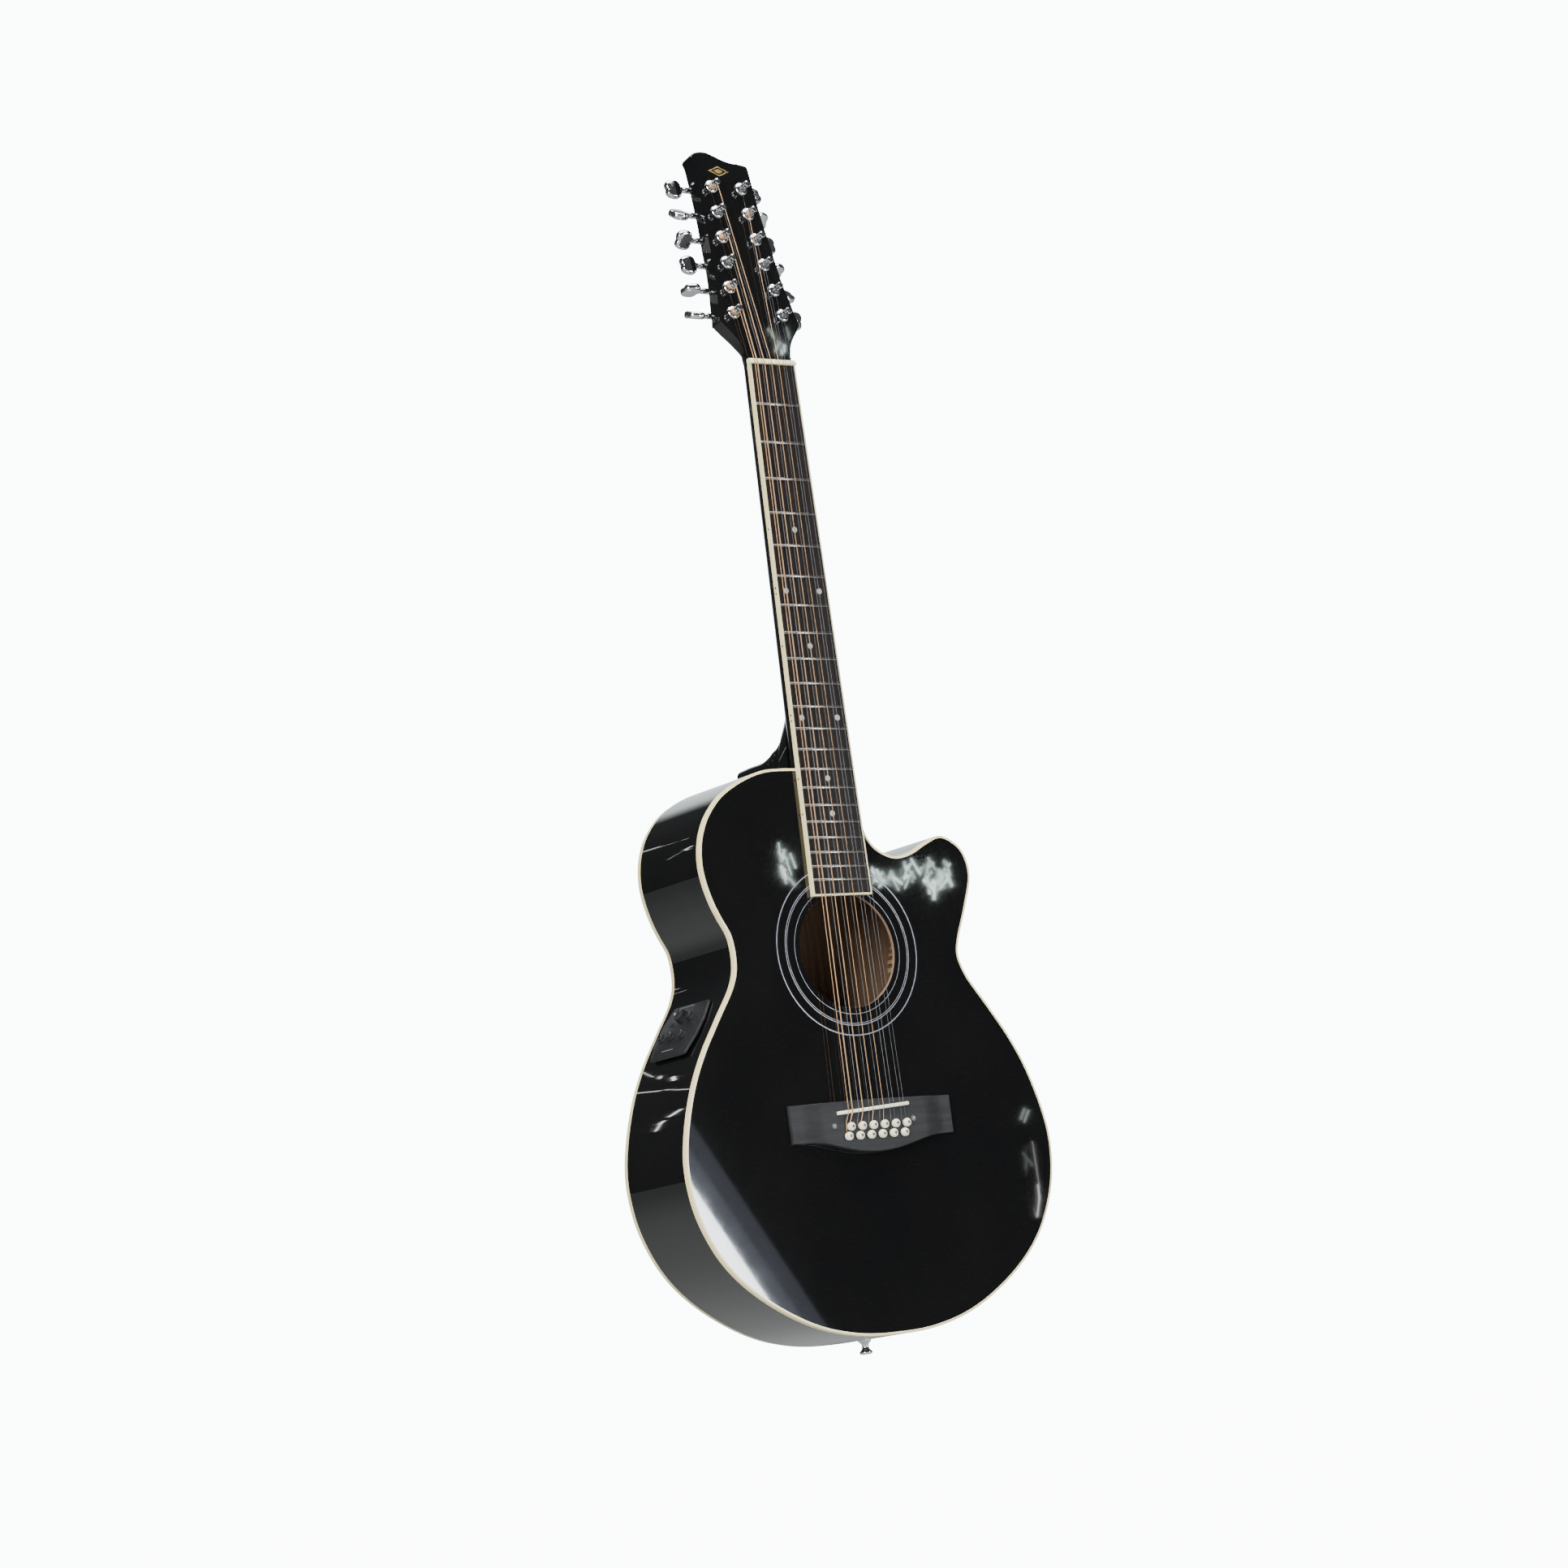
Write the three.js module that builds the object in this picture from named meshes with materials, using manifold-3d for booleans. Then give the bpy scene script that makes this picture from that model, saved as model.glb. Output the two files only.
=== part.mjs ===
// Twelve-string cutaway acoustic guitar with a preamp, built as separate pieces.
// Units are millimetres. The origin is the centre of the strap button's end face,
// +Z runs up the neck to the headstock, the strings face -Y and +X is the treble side.

import * as THREE from "three";
import { mergeVertices } from "three/addons/utils/BufferGeometryUtils.js";
import Module from "manifold-3d";

const wasm = await Module();
wasm.setup();

// ---- Driving dimensions -----------------------------------------------------------

const GAP = 0.3; // clearance between pieces that touch on the real instrument
const SCALE_LENGTH = 650; // nut to twelfth fret and back again
const NUT_Z = 858; // fretboard-side edge of the nut
const FRET_COUNT = 21;

const TOP_Y = -49; // outer face of the soundboard
const BACK_Y = 49; // outer face of the back on the centre line
const BACK_ARCH_RADIUS = 4572; // the back bends round this cylinder
const PLATE_THICKNESS = 3; // soundboard and back
const WALL_THICKNESS = 3.5; // rim with its glued linings
const BINDING_WIDTH = 2;
const BINDING_HEIGHT = 5;
const NECK_JOINT_Z = 499.5; // end face of the body under the fourteenth fret

const SOUND_HOLE = { z: 340.5, radius: 50 };

const BOARD = { top: -53.74, end: 389, nutHalf: 22.8, endHalf: 29.75, binding: 1.5 };
const FRET = { width: 2.2, height: 1, crown: 0.5, seat: 0.5 };
const NUT = { length: 4.8, half: 24.5, crownY: -55.5 };
const SHAFT = { nutDepth: 16.3, heelZ: 560, heelDepth: 19.3 };

const HEAD = { tilt: THREE.MathUtils.degToRad(10.28), y: -50.8, z: 861, thickness: 15 };
const TUNER = {
  bore: 3.5, // bush bore, for a post of radius 3
  bushRadius: 4.6,
  flangeRadius: 5.4,
  flangeTop: 1.8,
  plate: 1.5,
  wormDrop: 20, // worm axis below the headstock's face
  wormOffset: 6, // worm axis beside the post's axis
  gearRadius: 4,
  windingRadius: 3.8,
  windingHeight: 5.3,
};

const BRIDGE = { top: -57.3, half: 85 };
const PIN = { radius: 3.6, crownRadius: 2.2, height: 2.6, seat: 1 };
const SADDLE = { from: [-39.9, 201], to: [36.6, 205.5], width: 3, crownY: -60.1 };
const PINS = { count: 6, upperX: -27.8, upperZ: 189.1, lowerX: -31.3, lowerZ: 181.1, pitch: 11.8 };

const COURSES = { count: 6, saddlePitch: 11.05, nutPitch: 7.7, saddlePair: 4, nutPair: 2.5 };

const PANEL = { x: -146.3, y: 1.5, z: 284.75, slope: Math.atan2(0.8055, 0.5926) };

// ---- Materials --------------------------------------------------------------------

const finish = (color, roughness, metalness) =>
  new THREE.MeshStandardMaterial({ color, roughness, metalness });

const MATERIALS = {
  blackLacquer: finish(0x0b0b0d, 0.12, 0),
  cream: finish(0xe9e2c8, 0.4, 0),
  bareWood: finish(0xb08a5a, 0.8, 0),
  rosewood: finish(0x2a2220, 0.55, 0),
  bone: finish(0xf1ece0, 0.35, 0),
  chrome: finish(0xd8d8dc, 0.12, 1),
  steel: finish(0xc9cacd, 0.3, 1),
  bronze: finish(0xc98f5a, 0.35, 1),
  blackPlastic: finish(0x1b1c1e, 0.5, 0),
};

// ---- Solid helpers ----------------------------------------------------------------

const point = ([x, y]) => new THREE.Vector2(x, y);

const shapeOf = (points, holes = []) => {
  const shape = new THREE.Shape(points);
  holes.forEach((hole) => shape.holes.push(new THREE.Path(hole)));
  return shape;
};

const circle = (x, y, radius, sides) =>
  Array.from({ length: sides }, (_, i) => {
    const angle = (2 * Math.PI * i) / sides;
    return new THREE.Vector2(x + radius * Math.cos(angle), y + radius * Math.sin(angle));
  });

const extrude = (shape, depth) =>
  new THREE.ExtrudeGeometry(shape, { depth, bevelEnabled: false, curveSegments: 6 });

// A slab whose outline is drawn in X and Z, between two depths of the body.
const slab = (shape, front, back) =>
  extrude(shape, back - front).rotateX(Math.PI / 2).translate(0, back, 0);

// A bar whose profile is drawn in Y and Z, running across the neck.
const crossBar = (profile, from, to) => {
  const toRow = new THREE.Matrix4().set(0, 0, 1, from, 1, 0, 0, 0, 0, 1, 0, 0, 0, 0, 0, 1);
  return extrude(shapeOf(profile.map(point)), to - from).applyMatrix4(toRow);
};

const turned = (profile, sides) => new THREE.LatheGeometry(profile.map(point), sides);

// Joins rings with the same number of points and closes both ends.
const loft = (rings) => {
  const size = rings[0].length;
  const last = (rings.length - 1) * size;
  const index = [];
  for (let start = 0; start < last; start += size) {
    for (let i = 0; i < size; i += 1) {
      const next = (i + 1) % size;
      index.push(start + i, start + next, start + next + size);
      index.push(start + i, start + next + size, start + i + size);
    }
  }
  for (let i = 1; i < size - 1; i += 1) {
    index.push(0, i + 1, i);
    index.push(last, last + i, last + i + 1);
  }
  return new THREE.BufferGeometry().setFromPoints(rings.flat()).setIndex(index);
};

const solid = (geometry) => {
  const bare = geometry.clone();
  bare.deleteAttribute("normal");
  bare.deleteAttribute("uv");
  const merged = mergeVertices(bare, 1e-4);
  const mesh = new wasm.Mesh({
    numProp: 3,
    vertProperties: new Float32Array(merged.attributes.position.array),
    triVerts: new Uint32Array(merged.index.array),
  });
  return new wasm.Manifold(mesh);
};

const union = (...geometries) => geometries.map(solid).reduce((sum, piece) => sum.add(piece));

const geometryOf = (manifold) => {
  const mesh = manifold.getMesh();
  const geometry = new THREE.BufferGeometry();
  geometry.setAttribute("position", new THREE.BufferAttribute(mesh.vertProperties, 3));
  return geometry.setIndex(new THREE.BufferAttribute(mesh.triVerts, 1));
};

const piece = (name, geometry, material) => {
  const mesh = new THREE.Mesh(geometry, material);
  mesh.name = name;
  return mesh;
};

const guitar = new THREE.Group();
const add = (name, geometry, material, parent = guitar) =>
  parent.add(piece(name, geometry, material));

// ---- Body outline -----------------------------------------------------------------

// Treble side from the neck joint down the cutaway to the waist, as x and z.
const CUTAWAY = [
  [31.5, 499.5], [31.5, 470], [33, 452], [37.5, 438], [46, 428], [63.5, 420.8], [80, 423.3],
  [99.5, 432.5], [114.3, 437.8], [124, 436], [136.8, 427], [142.6, 416], [143.8, 400.6],
  [133.3, 371.4], [121.5, 344],
];
// The lower bout is the same on both sides: waist to tail.
const LOWER_BOUT = [
  [119.2, 332], [124.3, 316], [143.7, 287.4], [162, 260], [176.4, 231.8], [188.4, 195],
  [192.7, 168], [190.6, 140], [184.1, 117], [169.4, 89], [149.4, 66.4], [118, 43.3],
  [80, 24.6], [40, 14.8],
];
const TAIL = [0, 12.5];
// Bass side from the waist up to the neck joint.
const UPPER_BOUT = [
  [-120.5, 356], [-128.3, 372], [-133.9, 384.5], [-139.6, 405], [-140.9, 420],
  [-138.7, 436.5], [-134.1, 449.4], [-127.9, 460.2], [-114.5, 475], [-100.2, 484.5],
  [-81.7, 493], [-63.6, 498.2], [-46, 499.5], [-31.5, 499.5],
];
const CHORD = 26; // longest straight step along the outline

const outline = (() => {
  const mirrored = LOWER_BOUT.map(([x, z]) => [-x, z]).reverse();
  const stations = [...CUTAWAY, ...LOWER_BOUT, TAIL, ...mirrored, ...UPPER_BOUT];
  const knots = stations.map(([x, z]) => new THREE.Vector3(x, z, 0));
  const curve = new THREE.CatmullRomCurve3(knots, false, "centripetal");
  const points = [];
  for (let i = 0; i < knots.length - 1; i += 1) {
    const steps = Math.ceil(knots[i].distanceTo(knots[i + 1]) / CHORD);
    for (let step = 0; step < steps; step += 1) {
      const at = curve.getPoint((i + step / steps) / (knots.length - 1));
      points.push(new THREE.Vector2(at.x, at.y));
    }
  }
  points.push(point(stations.at(-1)));
  return points.reverse();
})();

// The outline moved inwards by a distance, with its corners mitred.
const inset = (distance) =>
  outline.map((here, i) => {
    const before = outline.at(i - 1);
    const after = outline[(i + 1) % outline.length];
    const into = here.clone().sub(before).normalize();
    const out = after.clone().sub(here).normalize();
    const inward = new THREE.Vector2(-into.y - out.y, into.x + out.x).normalize();
    const stretch = 1 / (inward.x * -out.y + inward.y * out.x);
    return here.clone().addScaledVector(inward, distance * stretch);
  });

const archDrop = (x) => (x * x) / (2 * BACK_ARCH_RADIUS);

// Bends the back half of a ring to follow the arched back.
const archRing = (geometry) => {
  const at = geometry.attributes.position;
  for (let i = 0; i < at.count; i += 1) {
    if (at.getY(i) > 0) {
      at.setY(i, at.getY(i) - archDrop(at.getX(i)));
    }
  }
  return geometry;
};

const bodyRing = (outer, inner, front, back) =>
  archRing(slab(shapeOf(inset(outer), [inset(inner)]), front, back));

// ---- Body -------------------------------------------------------------------------

const rimFront = TOP_Y + BINDING_HEIGHT + GAP;
const rimBack = BACK_Y - BINDING_HEIGHT - GAP;
const lipFront = TOP_Y + PLATE_THICKNESS + GAP;
const lipBack = BACK_Y - PLATE_THICKNESS - GAP;
const plateInset = BINDING_WIDTH + GAP;

add("front_binding", bodyRing(0, BINDING_WIDTH, TOP_Y, TOP_Y + BINDING_HEIGHT), MATERIALS.cream);
add("back_binding", bodyRing(0, BINDING_WIDTH, BACK_Y - BINDING_HEIGHT, BACK_Y), MATERIALS.cream);

const soundHole = circle(0, SOUND_HOLE.z, SOUND_HOLE.radius, 28);
add(
  "soundboard",
  slab(shapeOf(inset(plateInset), [soundHole]), TOP_Y, TOP_Y + PLATE_THICKNESS),
  MATERIALS.blackLacquer,
);

// The back is cut from a sheet that is already bent to the arch.
const SHEET = { half: 200, length: 520, strips: 8 };

const backBoard = () => {
  const stations = Array.from(
    { length: SHEET.strips + 1 },
    (_, i) => -SHEET.half + (2 * SHEET.half * i) / SHEET.strips,
  );
  const inner = stations.map((x) => [x, BACK_Y - PLATE_THICKNESS - archDrop(x)]);
  const outer = stations.map((x) => [x, BACK_Y - archDrop(x)]).reverse();
  const sheet = extrude(shapeOf([...inner, ...outer].map(point)), SHEET.length);
  const blank = slab(shapeOf(inset(plateInset)), 0, BACK_Y + PLATE_THICKNESS);
  return geometryOf(solid(blank).intersect(solid(sheet)));
};
add("back", backBoard(), MATERIALS.blackLacquer);

// The preamp's own frame: x up along the side wall, y towards the back, z out of the body.
const panelFrame = new THREE.Group();
panelFrame.position.set(PANEL.x, PANEL.y, PANEL.z);
panelFrame.quaternion.setFromRotationMatrix(
  new THREE.Matrix4().makeBasis(
    new THREE.Vector3(Math.cos(PANEL.slope), 0, Math.sin(PANEL.slope)),
    new THREE.Vector3(0, 1, 0),
    new THREE.Vector3(-Math.sin(PANEL.slope), 0, Math.cos(PANEL.slope)),
  ),
);
panelFrame.updateMatrix();
guitar.add(panelFrame);

const HOUSING = { length: 47, height: 46, depth: 28 };
const CUTOUT_MARGIN = 0.5;

// The jack's own frame: z points out of the treble side of the lower bout.
const JACK = {
  x: 190.6,
  z: 140,
  tilt: Math.atan2(8.6, 51),
  bore: 3.5,
  barrel: 5.7,
  length: 24,
};
const jackFrame = new THREE.Group();
jackFrame.position.set(JACK.x, 0, JACK.z);
jackFrame.rotation.set(0, Math.PI / 2 + JACK.tilt, 0);
jackFrame.updateMatrix();
guitar.add(jackFrame);

const THROUGH = 40; // length of a tool that cuts right through a wall

// The strap button's screw, and the hole for it through the wall and the tail block.
const SCREW_RADIUS = 2;
const screwHole = () =>
  new THREE.CylinderGeometry(SCREW_RADIUS + GAP, SCREW_RADIUS + GAP, THROUGH, 10)
    .rotateX(Math.PI / 2)
    .translate(0, 0, THROUGH / 2);

const rim = () => {
  const wall = bodyRing(0, WALL_THICKNESS, rimFront, rimBack);
  const lip = bodyRing(plateInset, WALL_THICKNESS, lipFront, lipBack);
  const window = new THREE.BoxGeometry(
    HOUSING.length + 2 * CUTOUT_MARGIN,
    HOUSING.height + 2 * CUTOUT_MARGIN,
    THROUGH,
  ).applyMatrix4(panelFrame.matrix);
  const jackHole = new THREE.CylinderGeometry(JACK.barrel + GAP, JACK.barrel + GAP, THROUGH, 12)
    .rotateX(Math.PI / 2)
    .applyMatrix4(jackFrame.matrix);
  const cuts = union(window, jackHole, screwHole());
  return geometryOf(union(wall, lip).subtract(cuts));
};
add("rim", rim(), MATERIALS.blackLacquer);

// Blocks and brace glued inside the body. Sizes are across, deep and along.
const BLOCK_DEPTH = 90;
const NECK_BLOCK = { across: 62, along: 43, x: -4, z: 473.9 };
const TAIL_BLOCK = { across: 60, along: 20, z: 27.8 };
const BRACE = { width: 8, depth: 14, z: 262, spread: 49, upper: 140, lower: 210 };

const neckBlock = new THREE.BoxGeometry(NECK_BLOCK.across, BLOCK_DEPTH, NECK_BLOCK.along)
  .translate(NECK_BLOCK.x, 0, NECK_BLOCK.z);
add("neck_block", neckBlock, MATERIALS.bareWood);
const tailBlock = new THREE.BoxGeometry(TAIL_BLOCK.across, BLOCK_DEPTH, TAIL_BLOCK.along)
  .translate(0, 0, TAIL_BLOCK.z);
add("tail_block", geometryOf(solid(tailBlock).subtract(solid(screwHole()))), MATERIALS.bareWood);

const xBrace = () => {
  const spread = THREE.MathUtils.degToRad(BRACE.spread);
  const bar = () =>
    new THREE.BoxGeometry(BRACE.width, BRACE.depth, BRACE.upper + BRACE.lower)
      .translate(0, 0, (BRACE.upper - BRACE.lower) / 2);
  const arms = union(bar().rotateY(spread), bar().rotateY(-spread));
  return geometryOf(arms).translate(0, lipFront + BRACE.depth / 2, BRACE.z);
};
add("x_brace", xBrace(), MATERIALS.bareWood);

// ---- Strap button and output jack -------------------------------------------------

const STRAP_BUTTON = [
  [0, 0], [4.4, 0], [5.8, 1.4], [5.3, 3], [3.2, 4.6], [3, 8], [4.6, 10.2], [5.8, 11.2],
  [5.8, 12.2], [SCREW_RADIUS, 12.2], [SCREW_RADIUS, 33], [0, 36],
];
add("strap_button", turned(STRAP_BUTTON, 12).rotateX(Math.PI / 2), MATERIALS.chrome);

const JACK_PROFILE = [
  [JACK.bore, 2.6], [JACK.bore, -JACK.length], [JACK.barrel, -JACK.length], [JACK.barrel, 0.6],
  [11, 0.6], [11, 1.8], [9.5, 2.6], [JACK.bore, 2.6],
];
add("output_jack", turned(JACK_PROFILE, 12).rotateX(Math.PI / 2), MATERIALS.chrome, jackFrame);

// ---- Preamp -----------------------------------------------------------------------

// The panel lies on the wall, from its foot to its face.
const PANEL_FOOT = 0.6;
const PANEL_FACE = 2.6;
const HOUSING_OVERLAP = 1; // how far the box reaches up into the panel
const PANEL_OUTLINE = [
  [-27.5, -26], [-9, -31], [9, -31], [27.5, -26], [27.5, 26], [9, 32], [-9, 32], [-27.5, 26],
];
const preampBody = () => {
  const flange = extrude(shapeOf(PANEL_OUTLINE.map(point)), PANEL_FACE - PANEL_FOOT)
    .translate(0, 0, PANEL_FOOT);
  const box = new THREE.BoxGeometry(HOUSING.length, HOUSING.height, HOUSING.depth + HOUSING_OVERLAP)
    .translate(0, 0, (HOUSING_OVERLAP - HOUSING.depth) / 2);
  return geometryOf(union(flange, box));
};
add("preamp_housing", preampBody(), MATERIALS.blackPlastic, panelFrame);

const KNOBS = [
  { name: "volume_knob", at: [13.7, 4.1], radius: 6.2, height: 5 },
  { name: "presence_knob", at: [12, -9.9], radius: 3.8, height: 3.6 },
  { name: "bass_knob", at: [-5.9, 21.1], radius: 3.8, height: 3.6 },
  { name: "middle_knob", at: [-5.3, 7.6], radius: 3.8, height: 3.6 },
  { name: "treble_knob", at: [-6.5, -10], radius: 3.8, height: 3.6 },
];
KNOBS.forEach(({ name, at, radius, height }) => {
  const profile = [[0, 0], [radius, 0], [0.88 * radius, height], [0, height]];
  const knob = piece(name, turned(profile, 12).rotateX(Math.PI / 2), MATERIALS.blackPlastic);
  knob.position.set(at[0], at[1], PANEL_FACE + GAP);
  panelFrame.add(knob);
});

// ---- Neck -------------------------------------------------------------------------

// Stations along the shaft, from the body to just under the headstock.
const SHAFT_STATIONS = [NECK_JOINT_Z + GAP, 600, 690, 780, 866];
const SHAFT_SQUARENESS = 2.3;

const fretDistance = (number) => SCALE_LENGTH * (1 - 2 ** (-number / 12));
const boardHalf = (z) =>
  THREE.MathUtils.mapLinear(z, NUT_Z, BOARD.end, BOARD.nutHalf, BOARD.endHalf);

// Half of a superellipse from +half round to -half, swung `reach` to one side.
const hump = (half, reach, squareness, steps) =>
  Array.from({ length: steps + 1 }, (_, i) => {
    const angle = (Math.PI * i) / steps;
    const across = Math.abs(Math.cos(angle)) ** (2 / squareness) * Math.sign(Math.cos(angle));
    return [half * across, reach * Math.sin(angle) ** Math.min(1, 2 / squareness)];
  });

const shaft = () => {
  const rings = SHAFT_STATIONS.map((z) => {
    const half = boardHalf(z) + BOARD.binding;
    const depth = THREE.MathUtils.mapLinear(z, NUT_Z, SHAFT.heelZ, SHAFT.nutDepth, SHAFT.heelDepth);
    return hump(half, depth, SHAFT_SQUARENESS, 10)
      .map(([x, y]) => new THREE.Vector3(x, TOP_Y + y, z));
  });
  return loft(rings);
};

// Depth, reach up the neck, half width and squareness of the heel's sections.
const HEEL = [
  [-36, 80, 29.4, 1.6], [-27, 59.2, 29.4, 1.6], [-23, 42.2, 29.4, 2.2], [-19, 30.2, 29.3, 3.2],
  [-13, 24.7, 29, 4.4], [-7, 20.2, 28.8, 5.5], [6, 17.2, 28, 5.5], [27, 17.5, 26, 5.5],
  [45.5, 17.2, 24, 5.5],
];
const heel = () =>
  loft(
    HEEL.map(([y, reach, half, squareness]) =>
      hump(half, reach, squareness, 12)
        .reverse()
        .map(([x, z]) => new THREE.Vector3(x, y, NECK_JOINT_Z + GAP + z)),
    ),
  );

// Right half of the headstock's outline: across and up its face from the nut.
const HEAD_SIDE = [
  [24, 2.2], [24.4, 7], [26.3, 14], [30.3, 22], [35.7, 29], [40, 34.5], [42.4, 38.5], [41.2, 45],
  [39.2, 59], [36.5, 74], [34.5, 92], [33, 115], [30.5, 140], [28.9, 167], [28, 191],
];
const HEAD_CREST = [
  [26.5, 195.4], [20.2, 196.3], [11.5, 196.8], [3.3, 198.9], [-4.6, 202.3], [-14.2, 205.6],
  [-24.3, 203.9], [-28.6, 200.6],
];
// Tuning posts from the nut to the crest: distance from the centre line and up the face.
const POSTS = [
  [26.5, 46.7], [24.1, 71.4], [20, 96.2], [18.3, 121.3], [16.7, 146.4], [16, 171.5],
];

const headFrame = new THREE.Group();
headFrame.position.set(0, HEAD.y, HEAD.z);
headFrame.rotation.x = Math.PI / 2 - HEAD.tilt;
headFrame.updateMatrix();
guitar.add(headFrame);

const headstock = () => {
  const left = HEAD_SIDE.map(([x, u]) => [-x, u]).reverse();
  const edge = [...HEAD_SIDE, ...HEAD_CREST, ...left].map(point);
  const holes = [-1, 1].flatMap((side) =>
    POSTS.map(([x, u]) => circle(side * x, u, TUNER.bushRadius + GAP, 10)),
  );
  return extrude(shapeOf(edge, holes), HEAD.thickness)
    .translate(0, 0, -HEAD.thickness)
    .applyMatrix4(headFrame.matrix);
};
add("neck", geometryOf(union(shaft(), heel(), headstock())), MATERIALS.blackLacquer);

// ---- Fretboard --------------------------------------------------------------------

const boardBottom = TOP_Y - GAP;
const boardStart = NUT_Z - GAP;

const fretboard = () => {
  const nutHalf = boardHalf(boardStart);
  const edge = [
    [-BOARD.endHalf, BOARD.end], [BOARD.endHalf, BOARD.end], [nutHalf, boardStart],
    [-nutHalf, boardStart],
  ];
  let board = solid(slab(shapeOf(edge.map(point)), BOARD.top, boardBottom));
  for (let number = 1; number <= FRET_COUNT; number += 1) {
    const z = NUT_Z - fretDistance(number);
    const foot = FRET.width / 2;
    const crown = [
      [BOARD.top, -foot], [BOARD.top - FRET.height, -FRET.crown],
      [BOARD.top - FRET.height, FRET.crown], [BOARD.top, foot],
      [BOARD.top + FRET.seat, foot], [BOARD.top + FRET.seat, -foot],
    ];
    const half = boardHalf(z) - GAP;
    board = board.add(solid(crossBar(crown, -half, half).translate(0, 0, z)));
  }
  return geometryOf(board);
};
add("fretboard", fretboard(), MATERIALS.rosewood);

const boardBinding = () => {
  const nutHalf = boardHalf(boardStart);
  const strip = BOARD.binding;
  const edge = [
    [-BOARD.endHalf - strip, BOARD.end - strip], [BOARD.endHalf + strip, BOARD.end - strip],
    [nutHalf + strip, boardStart], [nutHalf + GAP, boardStart],
    [BOARD.endHalf + GAP, BOARD.end - GAP], [-BOARD.endHalf - GAP, BOARD.end - GAP],
    [-nutHalf - GAP, boardStart], [-nutHalf - strip, boardStart],
  ];
  return slab(shapeOf(edge.map(point)), BOARD.top, boardBottom);
};
add("fretboard_binding", boardBinding(), MATERIALS.cream);

const NUT_PROFILE = [
  [NUT.crownY, 0], [NUT.crownY, 0.8], [-55, 2.6], [-54, NUT.length], [boardBottom, NUT.length],
  [boardBottom, 0],
];
add("nut", crossBar(NUT_PROFILE, -NUT.half, NUT.half).translate(0, 0, NUT_Z), MATERIALS.bone);

// ---- Bridge -----------------------------------------------------------------------

const BRIDGE_OUTLINE = [
  [-BRIDGE.half, 178.4], [-66, 177.8], [-54, 175.9], [-42, 173], [-30, 170.2], [-17, 167.9],
  [0, 166.8], [17, 167.9], [30, 170.2], [42, 173], [54, 175.9], [66, 177.8], [BRIDGE.half, 178.4],
  [BRIDGE.half, 210.6], [30, 211], [0, 211.5], [-30, 211], [-BRIDGE.half, 210.6],
];
const BRIDGE_THICKNESS = [
  [-BRIDGE.half, 3], [-67, 3.4], [-60, 5.2], [-54, 8], [54, 8], [60, 5.2], [67, 3.4],
  [BRIDGE.half, 3],
];
const saddleAngle = Math.atan2(SADDLE.to[1] - SADDLE.from[1], SADDLE.to[0] - SADDLE.from[0]);
const saddleLength = Math.hypot(SADDLE.to[0] - SADDLE.from[0], SADDLE.to[1] - SADDLE.from[1]);
const saddleMiddle = [(SADDLE.from[0] + SADDLE.to[0]) / 2, (SADDLE.from[1] + SADDLE.to[1]) / 2];
const SLOT_FLOOR = -52.5;
const BLANK = { over: 1, from: 160, length: 60 }; // stock that the bridge is cut from

const saddleBar = (margin, crown, floor) =>
  new THREE.BoxGeometry(saddleLength + 2 * margin, floor - crown, SADDLE.width + 2 * margin)
    .rotateY(-saddleAngle)
    .translate(saddleMiddle[0], (crown + floor) / 2, saddleMiddle[1]);

const pinPlaces = Array.from({ length: PINS.count }, (_, i) => [
  [PINS.upperX + PINS.pitch * i, PINS.upperZ],
  [PINS.lowerX + PINS.pitch * i, PINS.lowerZ],
]).flat();

const bridge = () => {
  const plan = slab(shapeOf(BRIDGE_OUTLINE.map(point)), BRIDGE.top - BLANK.over, boardBottom);
  const under = boardBottom + BLANK.over;
  const surface = BRIDGE_THICKNESS.map(([x, height]) => [x, boardBottom - height]);
  const section = shapeOf([...surface, [BRIDGE.half, under], [-BRIDGE.half, under]].map(point));
  const profile = extrude(section, BLANK.length).translate(0, 0, BLANK.from);
  const block = solid(plan).intersect(solid(profile)).subtract(
    solid(saddleBar(GAP, SADDLE.crownY, SLOT_FLOOR)),
  );
  const pins = pinPlaces.map(([x, z]) =>
    solid(
      new THREE.CylinderGeometry(PIN.radius, PIN.crownRadius, PIN.height + PIN.seat, 8)
        .translate(x, BRIDGE.top - (PIN.height - PIN.seat) / 2, z),
    ),
  );
  return geometryOf(pins.reduce((sum, pin) => sum.add(pin), block));
};
add("bridge", bridge(), MATERIALS.rosewood);
add("saddle", saddleBar(0, SADDLE.crownY, SLOT_FLOOR - GAP), MATERIALS.bone);

// ---- Tuners -----------------------------------------------------------------------

const backFace = -HEAD.thickness - GAP;
const plateBack = backFace - TUNER.plate;
const PLATE_EDGE = 7.2; // plate beyond the posts on each side
const LUG = { thickness: 1.4, inner: 4.9, height: 6.2, from: 3.2, to: 8.8, bore: 1.7 };

const POST_PROFILE = [
  [0, -TUNER.wormDrop - 2.3], [TUNER.gearRadius, -TUNER.wormDrop - 2.3],
  [TUNER.gearRadius, -TUNER.wormDrop + 2.3], [3, -TUNER.wormDrop + 2.3], [3, 3.6],
  [TUNER.windingRadius, 4.2], [TUNER.windingRadius, 6.4], [2.7, 7], [2.9, 11.5], [0, 11.5],
];
const BUSH_PROFILE = [
  [TUNER.bore, plateBack], [TUNER.bushRadius, plateBack], [TUNER.bushRadius, GAP],
  [TUNER.flangeRadius, GAP], [TUNER.flangeRadius, TUNER.flangeTop], [TUNER.bore, TUNER.flangeTop],
  [TUNER.bore, plateBack],
];

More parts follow.
